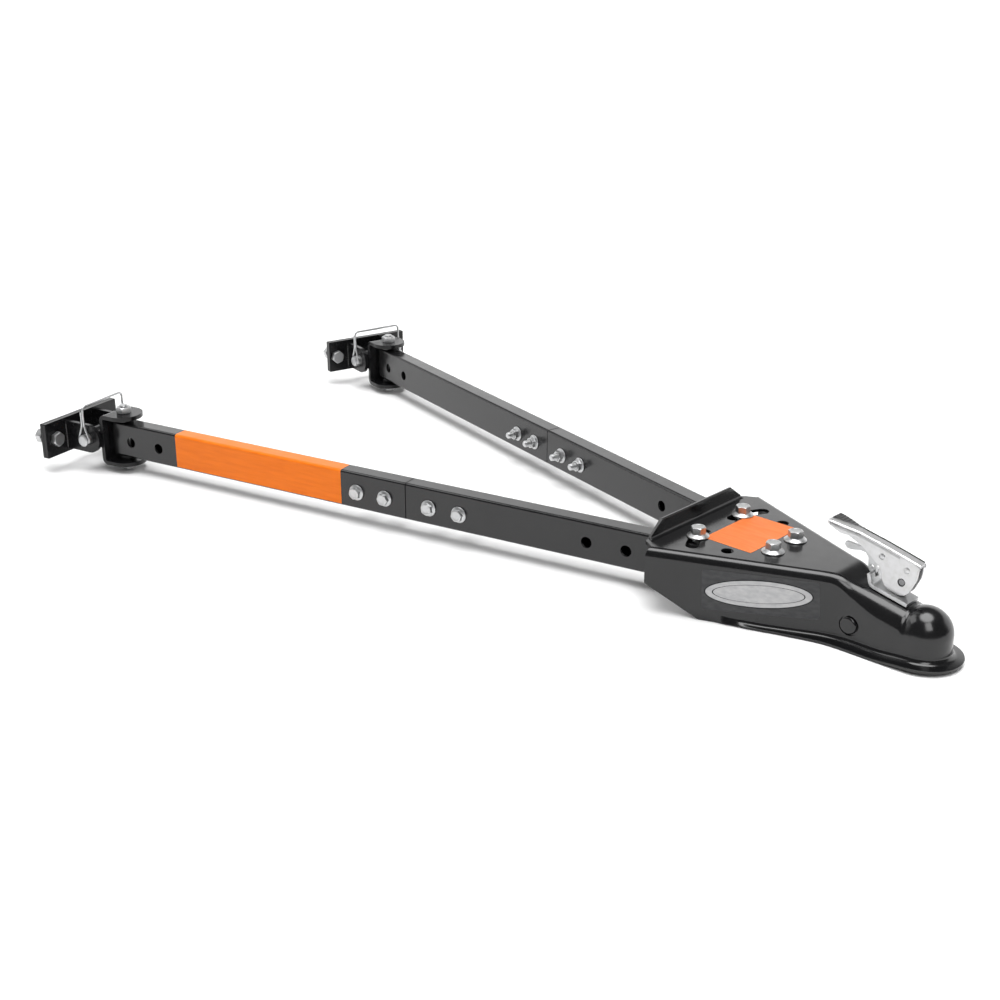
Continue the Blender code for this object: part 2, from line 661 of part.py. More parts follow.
def side_holes(target, stations, radius):
    for station in stations:
        cut(target, rod("hole", radius, -20 * MM, 20 * MM, 12), (-station, 0, -SIDE_HOLE_DROP),
            (math.radians(90), 0, 0))


def build_tubes(name, arm):
    half = TUBE_WIDTH / 2
    size = (half, TUBE_HEIGHT / 2, TUBE_WALL, TUBE_CORNER)
    front = tube_mesh("front_tube", *size, SEAM_GAP / 2 - SEAM_STATION, FRONT_OVERHANG)
    front_tube = add(f"{name}_front_tube", front, arm, black_paint)
    rear = tube_mesh("rear_tube", *size, -TUBE_END_STATION, -SEAM_GAP / 2 - SEAM_STATION)
    rear_tube = add(f"{name}_rear_tube", rear, arm, black_paint)
    inner_half, inner_height = half - TUBE_WALL - GAP, TUBE_HEIGHT / 2 - TUBE_WALL - GAP
    splice = tube_mesh("splice_tube", inner_half, inner_height, TUBE_WALL, 1 * MM,
                       -SEAM_STATION - SPLICE_HALF_LENGTH, -SEAM_STATION + SPLICE_HALF_LENGTH)
    splice_tube = add(f"{name}_splice_tube", splice, arm, black_paint)
    splice_hole = SPLICE_BOLT_HALF + RUNNING_GAP
    side_holes(front_tube, FRONT_HOLE_STATIONS, SIDE_HOLE_HALF)
    side_holes(front_tube, SPLICE_STATIONS[:2], splice_hole)
    side_holes(rear_tube, SPLICE_STATIONS[2:], splice_hole)
    side_holes(rear_tube, REAR_HOLE_STATIONS, SIDE_HOLE_HALF)
    side_holes(splice_tube, SPLICE_STATIONS, splice_hole)
    for tube, station in ((front_tube, 0), (front_tube, SLOT_STATION), (rear_tube, YOKE_STATION)):
        cut(tube, rod("hole", BOLT_HALF + RUNNING_GAP, -35 * MM, 35 * MM, 12), (-station, 0, 0))


def build_splice_bolts(name, arm, side):
    """Flange bolts through the splice, with their heads on the arm's outer face."""
    outwards = (math.radians(-90 * side), 0, 0)
    inwards = (math.radians(90 * side), 0, 0)
    face = TUBE_WIDTH / 2 + GAP
    for number, station in enumerate(SPLICE_STATIONS, 1):
        place = (-station, side * face, -SIDE_HOLE_DROP)
        add_bolt(f"{name}_splice_bolt_{number}", arm, place, outwards, SPLICE_BOLT_HALF, 44 * MM, SPLICE_BOLT_HEX,
                 8 * MM, 10.8 * MM)
        place = (-station, -side * face, -SIDE_HOLE_DROP)
        add_nut(f"{name}_splice_nut_{number}", arm, place, inwards, SPLICE_BOLT_HALF, SPLICE_BOLT_HEX,
                8.5 * MM, 10.6 * MM)


def build_plate_bolts(name, frame, arm, side):
    """The arm's pivot bolt and the bolt that slides in the plate's slot, each with a nut under the tube."""
    under = -TUBE_HEIGHT / 2 - GAP
    length = PLATE_TOP + GAP - under + 13 * MM
    sizes = (BOLT_HALF, length, COUPLER_BOLT_HEX, 12.5 * MM, 13.2 * MM)
    nut = (BOLT_HALF, BOLT_HEX, 10.5 * MM, 13 * MM)
    over = (math.radians(180), 0, 0)
    add_bolt(f"{name}_pivot_bolt", frame, (0, side * PIVOT_HALF_SPACING, PLATE_TOP + GAP), (0, 0, 0), *sizes)
    add_nut(f"{name}_pivot_nut", frame, (0, side * PIVOT_HALF_SPACING, under), over, *nut)
    add_bolt(f"{name}_slot_bolt", arm, (-SLOT_STATION, 0, PLATE_TOP + GAP), (0, 0, 0), *sizes)
    add_nut(f"{name}_slot_nut", arm, (-SLOT_STATION, 0, under), over, *nut)


# ---------------------------------------------------------------- yoke, bracket, pin and bail

def ear_outline():
    """Plan of a yoke ear, from the web to its half-round front."""
    nose = [(x * YOKE_FRONT / YOKE_HALF, y) for x, y in arc((0, 0), YOKE_HALF, -90, 90, 10)]
    return [(-YOKE_WEB, -YOKE_HALF)] + nose + [(-YOKE_WEB, YOKE_HALF)]


def build_yoke(name, arm):
    """The swivel clevis round the tube's rear end, with a barrel behind it for the hitch pin."""
    pivot = empty(f"{name}_yoke_pivot", arm, (-YOKE_STATION, 0, 0))
    top = YOKE_INSIDE + EAR_SHEET
    yoke = add(f"{name}_yoke", prism("yoke", ear_outline(), -top, top), pivot, black_paint)
    throat = box("throat", (EAR_SHEET - YOKE_WEB, -YOKE_HALF - 5 * MM, -YOKE_INSIDE),
                 (YOKE_FRONT + 5 * MM, YOKE_HALF + 5 * MM, YOKE_INSIDE))
    cut(yoke, throat)
    cut(yoke, rod("bolt_hole", BOLT_HALF + RUNNING_GAP, -50 * MM, 50 * MM, 12))
    half = BRACKET_INSIDE - GAP
    neck = [(-PIN_FROM_YOKE, -10 * MM), (1 * MM - YOKE_WEB, -13 * MM), (1 * MM - YOKE_WEB, 13 * MM),
            (-PIN_FROM_YOKE, 10 * MM)]
    join_to(yoke, prism("neck", neck, -YOKE_HALF + 1 * MM, YOKE_HALF - 1 * MM, "Y"))
    join_to(yoke, rod("barrel", BARREL_HALF, -half, half, 16), (-PIN_FROM_YOKE, 0, 0), (math.radians(90), 0, 0))
    cut(yoke, rod("pin_hole", PIN_HALF + RUNNING_GAP, -40 * MM, 40 * MM, 16), (-PIN_FROM_YOKE, 0, 0),
        (math.radians(90), 0, 0))
    length = 2 * (top + GAP) + 11.5 * MM
    head = -BOTTOM - top - GAP
    place = (0, 0, -top - GAP)
    add_bolt(f"{name}_yoke_bolt", pivot, place, (math.radians(180), 0, 0), BOLT_HALF, length, BOLT_HEX, head)
    add_nut(f"{name}_yoke_nut", pivot, (0, 0, top + GAP), (0, 0, 0), BOLT_HALF, BOLT_HEX, 9 * MM)
    return pivot


def bracket_ear_outline():
    """Side view of a bracket ear, round about the hitch pin, from (x, z) = (0, 0) on the pin."""
    points = [(-PLATE_FROM_PIN - 1 * MM, -EAR_HALF_HEIGHT)]
    points += arc((0, 0), EAR_HALF_HEIGHT, -90, 90, 10)
    points.append((-PLATE_FROM_PIN - 1 * MM, EAR_HALF_HEIGHT))
    return points


def build_bracket(name, yoke_pivot, side):
    """The bumper bracket: two ears on a wide plate, with a backing plate held loosely behind it by two bolts."""
    pivot = empty(f"{name}_bracket_pivot", yoke_pivot, (-PIN_FROM_YOKE, 0, 0))
    plate_face = -PLATE_FROM_PIN
    middle = side * PLATE_SHIFT
    outline = [(y + middle, z) for y, z in rounded_box_outline(PLATE_HALF_WIDTH, PLATE_HALF_HEIGHT, 1.5 * MM, 1)]
    bracket = add(f"{name}_bumper_bracket", prism("bracket", outline, plate_face - PLATE_SHEET, plate_face, "X"),
                  pivot, black_paint)
    inside, outside = BRACKET_INSIDE, BRACKET_INSIDE + EAR_SHEET
    for low, high in ((-outside, -inside), (inside, outside)):
        join_to(bracket, prism("ear", bracket_ear_outline(), low, high, "Y"))
    cut(bracket, rod("pin_hole", PIN_HALF + RUNNING_GAP, -40 * MM, 40 * MM, 16), rotation=(math.radians(90), 0, 0))
    back_face = plate_face - PLATE_SHEET - GAP
    backing = add(f"{name}_backing_plate", prism("backing", outline, back_face - PLATE_SHEET, back_face, "X"),
                  pivot, black_paint)
    nut_x = back_face - PLATE_SHEET - PLATE_NUT_STANDOFF
    for number, offset in enumerate((middle - PLATE_BOLT_OFFSET, middle + PLATE_BOLT_OFFSET), 1):
        for plate in (bracket, backing):
            hole = rod("bolt_hole", BOLT_HALF + RUNNING_GAP, -20 * MM, 20 * MM, 12)
            cut(plate, hole, (back_face, offset, 0), (0, math.radians(90), 0))
        add_bolt(f"{name}_plate_bolt_{number}", pivot, (plate_face + GAP, offset, 0), (0, math.radians(90), 0),
                 BOLT_HALF, PLATE_BOLT_LENGTH, BOLT_HEX, 8 * MM)
        add_nut(f"{name}_plate_nut_{number}", pivot, (nut_x, offset, 0), (0, math.radians(-90), 0),
                BOLT_HALF, BOLT_HEX, 10.5 * MM)
    return pivot


def wire_route():
    """The bail: up from the pin's far end, over the ears, down as one leg, round the pin's near end and up again."""
    near, far, wire = -BAIL_SIDE, BAIL_SIDE, BAIL_WIRE_HALF
    leg = wire + 0.35 * MM
    route = [(0, far, 4 * MM), (0, far, 20 * MM), (0, far, BAIL_TOP - 6 * MM), (0, far - 2 * MM, BAIL_TOP - 1 * MM),
             (0, far - 7 * MM, BAIL_TOP), (0, 0, BAIL_TOP), (leg, near + 7 * MM, BAIL_TOP),
             (leg, near + 2 * MM, BAIL_TOP - 1 * MM), (leg, near, BAIL_TOP - 6 * MM), (leg, near, 22 * MM)]
    loop = arc((0, 0), PIN_HALF + wire + 2.6 * MM, 40, -220, 12)
    route += [(x, near, z) for x, z in loop]
    route += [(-leg, near, 22 * MM), (-leg, near, BAIL_TOP - 6 * MM)]
    return route


def bail_curve(name):
    curve = bpy.data.curves.new(name, "CURVE")
    curve.dimensions = "3D"
    points = wire_route()
    spline = curve.splines.new("POLY")
    spline.points.add(len(points) - 1)
    for point, place in zip(spline.points, points):
        point.co = (*place, 1)
    curve.bevel_depth = BAIL_WIRE_HALF
    curve.bevel_resolution = 1
    curve.use_fill_caps = True
    curve.materials.append(zinc(name))
    return curve


def build_hitch_pin(name, yoke_pivot):
    """The pin through the bracket's ears and the yoke's barrel, kept in place by a sprung wire bail."""
    pivot = empty(f"{name}_pin_pivot", yoke_pivot, (-PIN_FROM_YOKE, 0, 0))
    pin = add(f"{name}_hitch_pin", rod("hitch_pin", PIN_HALF, -46 * MM, 46 * MM, 16, 1.5 * MM), pivot, zinc,
              rotation=(math.radians(90), 0, 0))
    cut(pin, rod("cross_hole", BAIL_WIRE_HALF + RUNNING_GAP, 0, 12 * MM, 10), (0, BAIL_SIDE, 0))
    wire = bpy.data.objects.new(f"{name}_wire_bail", bail_curve(f"{name}_wire_bail"))
    bpy.context.scene.collection.objects.link(wire)
    wire.parent = pivot


# ---------------------------------------------------------------- assembly

def stand_on_origin(frame):
    """Moves the frame so that the solids' box stands on the origin, centred over it."""
    bpy.context.view_layer.update()
    graph = bpy.context.evaluated_depsgraph_get()
    corners = []
    for item in bpy.data.objects:
        if item.type != "EMPTY" and not item.hide_render:
            solid = item.evaluated_get(graph)
            mesh = solid.to_mesh()
            corners += [solid.matrix_world @ vertex.co for vertex in mesh.vertices]
            solid.to_mesh_clear()
    low = [min(corner[i] for corner in corners) for i in range(3)]
    high = [max(corner[i] for corner in corners) for i in range(3)]
    frame.location = (-(low[0] + high[0]) / 2, -(low[1] + high[1]) / 2, -low[2])
    bpy.context.view_layer.update()


def main():
    clear_scene()
    frame = empty("tow_bar_frame", None)
    build_coupler(frame)
    build_latch(frame)
    for name, side in SIDES.items():
        arm = empty(f"{name}_arm_pivot", frame, (0, side * PIVOT_HALF_SPACING, 0), -side * ARM_ANGLE)
        build_tubes(name, arm)
        build_plate_bolts(name, frame, arm, side)
        build_splice_bolts(name, arm, side)
        yoke_pivot = build_yoke(name, arm)
        build_bracket(name, yoke_pivot, side)
        build_hitch_pin(name, yoke_pivot)
    stand_on_origin(frame)


main()
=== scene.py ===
"""Looks for the adjustable A-frame tow bar: fine pieces, finishes, labels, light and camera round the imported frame.

Lengths are in millimetres until they reach a mesh. Every piece is drawn in the local frame of the CAD body that
it rides on, and those frames come from the joints.
"""

import json
import math
import random

import bmesh
import bpy
from mathutils import Matrix, Vector


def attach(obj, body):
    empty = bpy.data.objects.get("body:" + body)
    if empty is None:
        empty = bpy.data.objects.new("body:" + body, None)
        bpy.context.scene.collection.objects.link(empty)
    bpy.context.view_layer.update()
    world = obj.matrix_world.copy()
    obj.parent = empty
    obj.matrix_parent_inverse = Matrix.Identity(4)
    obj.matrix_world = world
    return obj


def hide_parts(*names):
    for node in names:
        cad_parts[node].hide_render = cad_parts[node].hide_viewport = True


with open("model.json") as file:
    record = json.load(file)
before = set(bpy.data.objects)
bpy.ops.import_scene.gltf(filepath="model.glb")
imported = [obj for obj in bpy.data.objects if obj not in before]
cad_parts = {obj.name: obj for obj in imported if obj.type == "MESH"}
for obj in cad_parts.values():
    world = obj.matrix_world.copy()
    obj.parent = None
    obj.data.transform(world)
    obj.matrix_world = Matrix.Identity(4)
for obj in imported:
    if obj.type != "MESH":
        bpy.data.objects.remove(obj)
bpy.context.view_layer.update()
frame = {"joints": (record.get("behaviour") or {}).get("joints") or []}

MM = 0.001

# Arms.
TUBE_HEIGHT, TUBE_WIDTH, TUBE_WALL, TUBE_CORNER = 50.8, 25.4, 3.0, 3.5
FRONT_OVERHANG, SLOT_STATION, SEAM_STATION, TUBE_END_STATION = 18, 92.3, 493.9, 998
SEAM_GAP = 1.2
FRONT_HOLES = (178.7, 231.9)
SPLICE_STATIONS = (413.0, 458.2, 526.2, 570.6)
REAR_HOLES = (913.6, 965.5)
YOKE_STATION = 986
SIDE_HOLE_DROP = 1.8
LABEL_STATIONS = (595.9, 880.7)

# Coupler.
SHEET, PLATE_TOP, WALL_HALF, KINK_X, REAR_X, TAPER = 4.6, 31.4, 31, 89.6, -112, 0.43
BALL_X, SOCKET_Z, DOME_RADIUS, BOTTOM = 185, -16, 31, -48
LIP_ANGLE, SKIN = math.radians(83), 3.5
LIP_REACH = ((-40, 0.5), (-20, 3.3), (0, 6.2), (30, 7.6), (58, 10.2), (80, 12.8), (100, 14.3), (230, 13.8))
NOSE_RISE, HEEL_X, HEEL_RISE, SHOULDER = 3.7, -51, 0.6, 11.5
SLOPE_FALL, SLOPE_FOOT = 0.2089, (166.2, 11.6)
FLANGE_REAR, FLANGE_TOP, FLANGE_HALF_BASE, FLANGE_HALF_TOP = REAR_X - 16.5, 51, 94, 69.5
SPARE_HOLE, SPARE_HOLE_HALF = (-39.5, 57), 7.0
SLOT_HALF, SLOT_FROM, SLOT_TO = 7.6, 4, 32
BOSS_X, BOSS_Z = 109, -22.5

# Latch.
LEVER_HALF, LEVER_SHEET, LEVER_TRAVEL, CAM_RADIUS, CAM_FALL = 7, 2.8, 70, 16, 3
SADDLE_HALF, SADDLE_SHEET = 13, 4.8

# Rear fittings.
EAR_SHEET, YOKE_INSIDE, YOKE_HALF, YOKE_FRONT, YOKE_WEB = 6, 31.5, 27, 26, 24
PIN_HALF, BARREL_HALF, BRACKET_INSIDE = 7.9, 14, 27.8
PLATE_FROM_PIN, PLATE_SHEET, PLATE_HALF_WIDTH, PLATE_HALF_HEIGHT, PLATE_SHIFT = 42, 4.8, 72, 26, 2.2
PLATE_BOLT_OFFSET, PLATE_NUT_STANDOFF, PLATE_BOLT_LENGTH, EAR_HALF_HEIGHT = 56, 11, 34, 21
BAIL_WIRE_HALF, BAIL_SIDE, BAIL_TOP = 1.5, 41.5, 50.5

# Fasteners.
BOLT_HALF, SPLICE_BOLT_HALF = 6.35, 4.75
RING = 72
GAP = 0.3


# ---------------------------------------------------------------- frames of the moving bodies

joints = {joint["name"]: joint for joint in frame["joints"]}


def joint_place(name):
    return Vector(joints[name]["pos_m"])


def axes(origin, forward, up=Vector((0, 0, 1))):
    """A frame whose X axis points forward, with Z as near to up as it can be."""
    x = forward.normalized()
    y = up.cross(x).normalized()
    z = x.cross(y)
    turn = Matrix((x, y, z)).transposed().to_4x4()
    return Matrix.Translation(origin) @ turn


SIDES = {"right": -1, "left": 1}
PIVOTS = {side: joint_place(f"{side}_arm_spread") for side in SIDES}
COUPLER = Matrix.Translation((PIVOTS["right"] + PIVOTS["left"]) / 2)
ARMS = {side: axes(PIVOTS[side], PIVOTS[side] - joint_place(f"{side}_yoke_swivel")) for side in SIDES}
YOKES = {side: axes(joint_place(f"{side}_yoke_swivel"), ARMS[side].col[0].to_3d()) for side in SIDES}
PINS = {side: axes(joint_place(f"{side}_bracket_tilt"), ARMS[side].col[0].to_3d()) for side in SIDES}
PIVOT_HALF_SPACING = PIVOTS["left"].y / MM
LEVER = Matrix.Translation(joint_place("lever_swing"))
TRIGGER = Matrix.Translation(joint_place("trigger_pull"))
CLAMP = Matrix.Translation(joint_place("ball_clamp_rock"))
lift = Vector(joints["draw_bolt_slide"]["axis"])
LATCH = axes(joint_place("lever_swing"), Vector((lift.z, 0, -lift.x)), lift)
LEAN = math.atan2(lift.x, lift.z)
LATCH_PIVOT = ((COUPLER.inverted() @ LEVER.translation) / MM).xz
TRIGGER_PIVOT = ((COUPLER.inverted() @ TRIGGER.translation) / MM).xz
PIN_FROM_YOKE = (YOKES["right"].translation - PINS["right"].translation).length / MM


def moved(x=0.0, y=0.0, z=0.0):
    return Matrix.Translation((x * MM, y * MM, z * MM))


def turned_about(axis, degrees):
    return Matrix.Rotation(math.radians(degrees), 4, axis)


# ---------------------------------------------------------------- mesh makers, in millimetres

def loft(name, rings, closed=False, capped=True):
    """A skin through rings of equal length."""
    made = bmesh.new()
    rows = [[made.verts.new(Vector(point) * MM) for point in ring] for ring in rings]
    pairs = list(zip(rows, rows[1:]))
    if closed:
        pairs.append((rows[-1], rows[0]))
    for low, high in pairs:
        for i in range(len(low)):
            j = (i + 1) % len(low)
            made.faces.new((low[i], low[j], high[j], high[i]))
    if capped and not closed:
        made.faces.new(rows[0][::-1])
        made.faces.new(rows[-1])
    bmesh.ops.recalc_face_normals(made, faces=made.faces)
    return finished(made, name)


def finished(made, name):
    mesh = bpy.data.meshes.new(name)
    made.to_mesh(mesh)
    made.free()
    return mesh


def circle(radius, count=RING):
    return [(radius * math.cos(math.tau * i / count), radius * math.sin(math.tau * i / count)) for i in range(count)]


def stack(name, outline_heights):
    """A loft along Z through (outline, z) pairs."""
    return loft(name, [[(x, y, z) for x, y in outline] for outline, z in outline_heights])


def turned(name, profile, count=RING):
    """A body of revolution about Z through (radius, z) pairs, capped at both ends."""
    return stack(name, [(circle(radius, count), z) for radius, z in profile])


def ring_body(name, profile, count=RING):
    """A ring about Z whose section is a closed loop of (radius, z) pairs."""
    return loft(name, [[(x, y, z) for x, y in circle(radius, count)] for radius, z in profile], closed=True)


def prism(name, outline, low, high, axis="Z"):
    """An outline pushed along an axis. Along Y the outline holds (x, z) pairs, along X (y, z) pairs."""
    place = {"Z": lambda u, v, h: (u, v, h), "Y": lambda u, v, h: (u, h, v), "X": lambda u, v, h: (h, u, v)}
    return loft(name, [[place[axis](u, v, h) for u, v in outline] for h in (low, high)])


def arc(centre, radius, start, end, segments):
    """Points on an arc, its angles in degrees."""
    turns = [math.radians(start + (end - start) * i / segments) for i in range(segments + 1)]
    return [(centre[0] + radius * math.cos(t), centre[1] + radius * math.sin(t)) for t in turns]


def rounded_box(half_u, half_v, corner, segments=8):
    points = []
    for quarter, (su, sv) in enumerate(((1, 1), (-1, 1), (-1, -1), (1, -1))):
        centre = (su * (half_u - corner), sv * (half_v - corner))
        points += arc(centre, corner, 90 * quarter, 90 * quarter + 90, segments)
    return points


def rounded(outline, radii, segments=6):
    """A polygon with each corner cut to an arc of its own radius."""
    points = []
    for i, corner in enumerate(outline):
        here, radius = Vector(corner), radii[i % len(radii)]
        before = (Vector(outline[i - 1]) - here).normalized()
        after = (Vector(outline[(i + 1) % len(outline)]) - here).normalized()
        half = before.angle(after) / 2
        if radius <= 0 or half > math.radians(88):
            points.append(tuple(here))
            continue
        reach = radius / math.tan(half)
        start, end = here + before * reach, here + after * reach
        centre = here + (before + after).normalized() * radius / math.sin(half)
        for step in range(segments + 1):
            spoke = (start - centre).slerp(end - centre, step / segments).normalized()
            points.append(tuple(centre + spoke * radius))
    return points


def smooth_step(value, low, high):
    t = min(max((value - low) / (high - low), 0.0), 1.0)
    return t * t * (3 - 2 * t)


def blend(a, b, t):
    return a + (b - a) * t


def through(points, per_span=8):
    """A smooth curve through 3-D points."""
    route = [Vector(p) for p in points]
    ends = [route[0] * 2 - route[1]] + route + [route[-1] * 2 - route[-2]]
    out = []
    for a, b, c, d in zip(ends, ends[1:], ends[2:], ends[3:]):
        for i in range(per_span):
            t = i / per_span
            out.append(0.5 * (2 * b + (c - a) * t + (2 * a - 5 * b + 4 * c - d) * t * t
                              + (3 * b - a - 3 * c + d) * t ** 3))
    return out + [route[-1]]


# ---------------------------------------------------------------- pieces

class Piece:
    """One visible piece under construction. Its cutters and additions share its frame."""

    def __init__(self, name, mesh, place):
        self.object = bpy.data.objects.new(name, mesh)
        bpy.context.scene.collection.objects.link(self.object)
        self.object.matrix_world = place
        self.helpers = []

    def combine(self, mesh, local=Matrix.Identity(4), operation="DIFFERENCE", edge=0.0):
        helper = bpy.data.objects.new("helper", mesh)
        bpy.context.scene.collection.objects.link(helper)
        helper.matrix_world = self.object.matrix_world @ local
        if edge:
            add_bevel(helper, edge, 2, 40)
        self.helpers.append(helper)
        boolean = self.object.modifiers.new("combine", "BOOLEAN")
        boolean.object = helper
        boolean.operation = operation
        return self

    def join(self, mesh, local=Matrix.Identity(4), edge=0.0):
        return self.combine(mesh, local, "UNION", edge)

    def bevel(self, width, segments=2, angle=40):
        add_bevel(self.object, width, segments, angle)
        return self

    def done(self, finish, body, *nodes, slot=None, sharp=35):
        """Applies the modifiers, paints the piece and ties it to its body and CAD nodes."""
        bpy.context.view_layer.update()
        graph = bpy.context.evaluated_depsgraph_get()
        mesh = bpy.data.meshes.new_from_object(self.object.evaluated_get(graph))
        self.object.modifiers.clear()
        self.object.data = mesh
        mesh.name = self.object.name
        for helper in self.helpers:
            bpy.data.objects.remove(helper)
        tidy(mesh)
        return settle(self.object, finish, body, *nodes, slot=slot, sharp=sharp)


def add_bevel(item, width, segments, angle):
    bevel = item.modifiers.new("bevel", "BEVEL")
    bevel.width = width * MM
    bevel.segments = segments
    bevel.limit_method = "ANGLE"
    bevel.angle_limit = math.radians(angle)
    bevel.use_clamp_overlap = True
    bevel.harden_normals = False


def tidy(mesh):
    made = bmesh.new()
    made.from_mesh(mesh)
    bmesh.ops.dissolve_degenerate(made, edges=made.edges, dist=1e-6)
    made.to_mesh(mesh)
    made.free()


def settle(item, finish, body, *nodes, slot=None, sharp=35):
    mesh = item.data
    mesh.materials.clear()
    mesh.materials.append(finish)
    mesh.shade_smooth()
    mesh.set_sharp_from_angle(angle=math.radians(sharp))
    normals = item.modifiers.new("normals", "WEIGHTED_NORMAL")
    normals.keep_sharp = True
    normals.weight = 100
    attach(item, body)
    if nodes:
        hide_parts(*nodes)
    return item


def simple(name, mesh, place, finish, body, *nodes, sharp=35):
    """A piece that needs no cutting."""
    item = bpy.data.objects.new(name, mesh)
    bpy.context.scene.collection.objects.link(item)
    item.matrix_world = place
    return settle(item, finish, body, *nodes, sharp=sharp)


def wire(name, points, radius, place, finish, body, *nodes):
    """A round wire along a smooth route."""
    curve = bpy.data.curves.new(name, "CURVE")
    curve.dimensions = "3D"
    route = through(points)
    spline = curve.splines.new("POLY")
    spline.points.add(len(route) - 1)
    for point, spot in zip(spline.points, route):
        point.co = (*(spot * MM), 1)
    curve.bevel_depth = radius * MM
    curve.bevel_resolution = 4
    curve.use_fill_caps = True
    curve.materials.append(finish)
    item = bpy.data.objects.new(name, curve)
    bpy.context.scene.collection.objects.link(item)
    item.matrix_world = place
    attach(item, body)
    if nodes:
        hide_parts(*nodes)
    return item


# ---------------------------------------------------------------- materials

class Nodes:
    """A Principled material with a few helpers to wire it."""

    def __init__(self, name, slot):
        self.material = bpy.data.materials.new(name)
        self.material.use_nodes = True
        self.material["slot"] = slot
        self.tree = self.material.node_tree
        self.shader = self.tree.nodes["Principled BSDF"]
        self.space = self.node("ShaderNodeTexCoord").outputs["Object"]

    def node(self, kind, **values):
        made = self.tree.nodes.new(kind)
        for key, value in values.items():
            if key in made.inputs:
                made.inputs[key].default_value = value
            else:
                setattr(made, key, value)
        return made

    def link(self, source, target):
        self.tree.links.new(source, target)
        return target.node

    def noise(self, scale, detail=2.0, stretch=(1, 1, 1)):
        mapping = self.node("ShaderNodeMapping", Scale=stretch)
        self.link(self.space, mapping.inputs["Vector"])
        noise = self.node("ShaderNodeTexNoise", Scale=scale, Detail=detail)
        self.link(mapping.outputs["Vector"], noise.inputs["Vector"])
        return noise.outputs["Fac"]

    def ramp(self, source, stops, target):
        """Maps source through (position, colour) stops into target. A number stands for a grey."""
        made = self.node("ShaderNodeValToRGB")
        while len(made.color_ramp.elements) < len(stops):
            made.color_ramp.elements.new(0.5)
        for element, (position, colour) in zip(made.color_ramp.elements, stops):
            element.position = position
            element.color = (*((colour,) * 3 if isinstance(colour, (int, float)) else colour), 1)
        self.link(source, made.inputs["Fac"])
        self.link(made.outputs["Color"], target)
        return made

    def bump(self, source, distance, strength=1.0, under=None):
        bump = self.node("ShaderNodeBump", Strength=strength, Distance=distance)
        self.link(source, bump.inputs["Height"])
        if under:
            self.link(under, bump.inputs["Normal"])
        self.link(bump.outputs["Normal"], self.shader.inputs["Normal"])
        return bump.outputs["Normal"]


def powder_coat(name, slot, tint, rough, gloss=0.5):
    """Baked black powder: a slight orange peel, faint cloudiness in its gloss, and dust specks."""
    made = Nodes(name, slot)
    made.shader.inputs["IOR"].default_value = 1.52
    made.shader.inputs["Specular IOR Level"].default_value = gloss
    cloud = made.noise(22, 4)
    made.ramp(cloud, [(0.3, tuple(c * 0.85 for c in tint)), (0.7, tuple(c * 1.25 for c in tint))],
              made.shader.inputs["Base Color"])
    made.ramp(made.noise(60, 5), [(0.3, rough - 0.035), (0.72, rough + 0.05)], made.shader.inputs["Roughness"])
    peel = made.bump(made.noise(420, 2), 0.00004, 0.35)
    made.bump(made.noise(2600, 1), 0.000012, 0.3, under=peel)
    return made.material


def zinc_plate(name, slot, tint, rough, grain=1.0):
    """Bright zinc: metal with a fine grain, soft mottling and a trace of chromate tint."""
    made = Nodes(name, slot)
    made.shader.inputs["Metallic"].default_value = 1.0
    mottle = made.noise(130, 5)
    warm = tuple(c * k for c, k in zip(tint, (0.9, 0.9, 0.87)))
    made.ramp(mottle, [(0.25, warm), (0.5, tint), (0.8, tuple(min(c * 1.08, 1) for c in tint))],
              made.shader.inputs["Base Color"])
    made.ramp(made.noise(340, 4), [(0.25, rough - 0.06 * grain), (0.75, rough + 0.1 * grain)],
              made.shader.inputs["Roughness"])
    made.bump(made.noise(900, 3), 0.00002 * grain, 0.2)
    return made.material


def printed_film(name, tint, light, rough=0.32):
    """A printed vinyl label: flat ink with faint streaks along its length, and a soft clear film."""
    made = Nodes(name, "tube_black")
    made.shader.inputs["Specular IOR Level"].default_value = 0.2
    streaks = made.noise(90, 3, (0.35, 3, 3))
    made.ramp(streaks, [(0.35, tint), (0.65, light)], made.shader.inputs["Base Color"])
    made.ramp(made.noise(40, 3), [(0.3, rough - 0.04), (0.7, rough + 0.06)], made.shader.inputs["Roughness"])
    made.bump(made.noise(500, 2, (0.3, 1, 1)), 0.00002, 0.3)
    return made.material


COAT = powder_coat("black_powder_coat", "black_coat", (0.006, 0.006, 0.0065), 0.17)
TUBE_COAT = powder_coat("tube_powder_coat", "tube_black", (0.008, 0.008, 0.0085), 0.2)
FITTING_COAT = powder_coat("fitting_powder_coat", "black_coat", (0.006, 0.006, 0.0065), 0.24, 0.3)
ZINC = zinc_plate("bright_zinc", "bright_zinc", (0.5, 0.505, 0.51), 0.36)
LEVER_ZINC = zinc_plate("lever_zinc", "bright_zinc", (0.6, 0.6, 0.605), 0.42, 0.3)
DULL_ZINC = zinc_plate("dull_zinc", "bright_zinc", (0.22, 0.22, 0.225), 0.4)
# A darker copy of the lever zinc used as painted shade along the lever's near crease.
CREASE_SHADE_ZINC = zinc_plate("crease_shade_zinc", "bright_zinc", (0.42, 0.42, 0.425), 0.4, 0.3)
# A dark copy of the zinc used as painted shade. It darkens the lever's far rim bead and the far half of the grip,
# where the far side lies in shade.
FAR_SHADE_ZINC = zinc_plate("far_shade_zinc", "bright_zinc", (0.1, 0.1, 0.102), 0.38)
ORANGE = printed_film("orange_film", (0.78, 0.16, 0.003), (0.84, 0.185, 0.006))
PALE_ORANGE = printed_film("plate_orange_film", (0.66, 0.155, 0.035), (0.72, 0.18, 0.045), 0.5)
GREY_FILM = printed_film("grey_film", (0.045, 0.046, 0.048), (0.06, 0.06, 0.062), 0.3)
DARK_FILM = printed_film("dark_film", (0.012, 0.012, 0.013), (0.018, 0.018, 0.02), 0.3)
SILVER_FILM = printed_film("silver_film", (0.42, 0.42, 0.43), (0.5, 0.5, 0.5), 0.28)


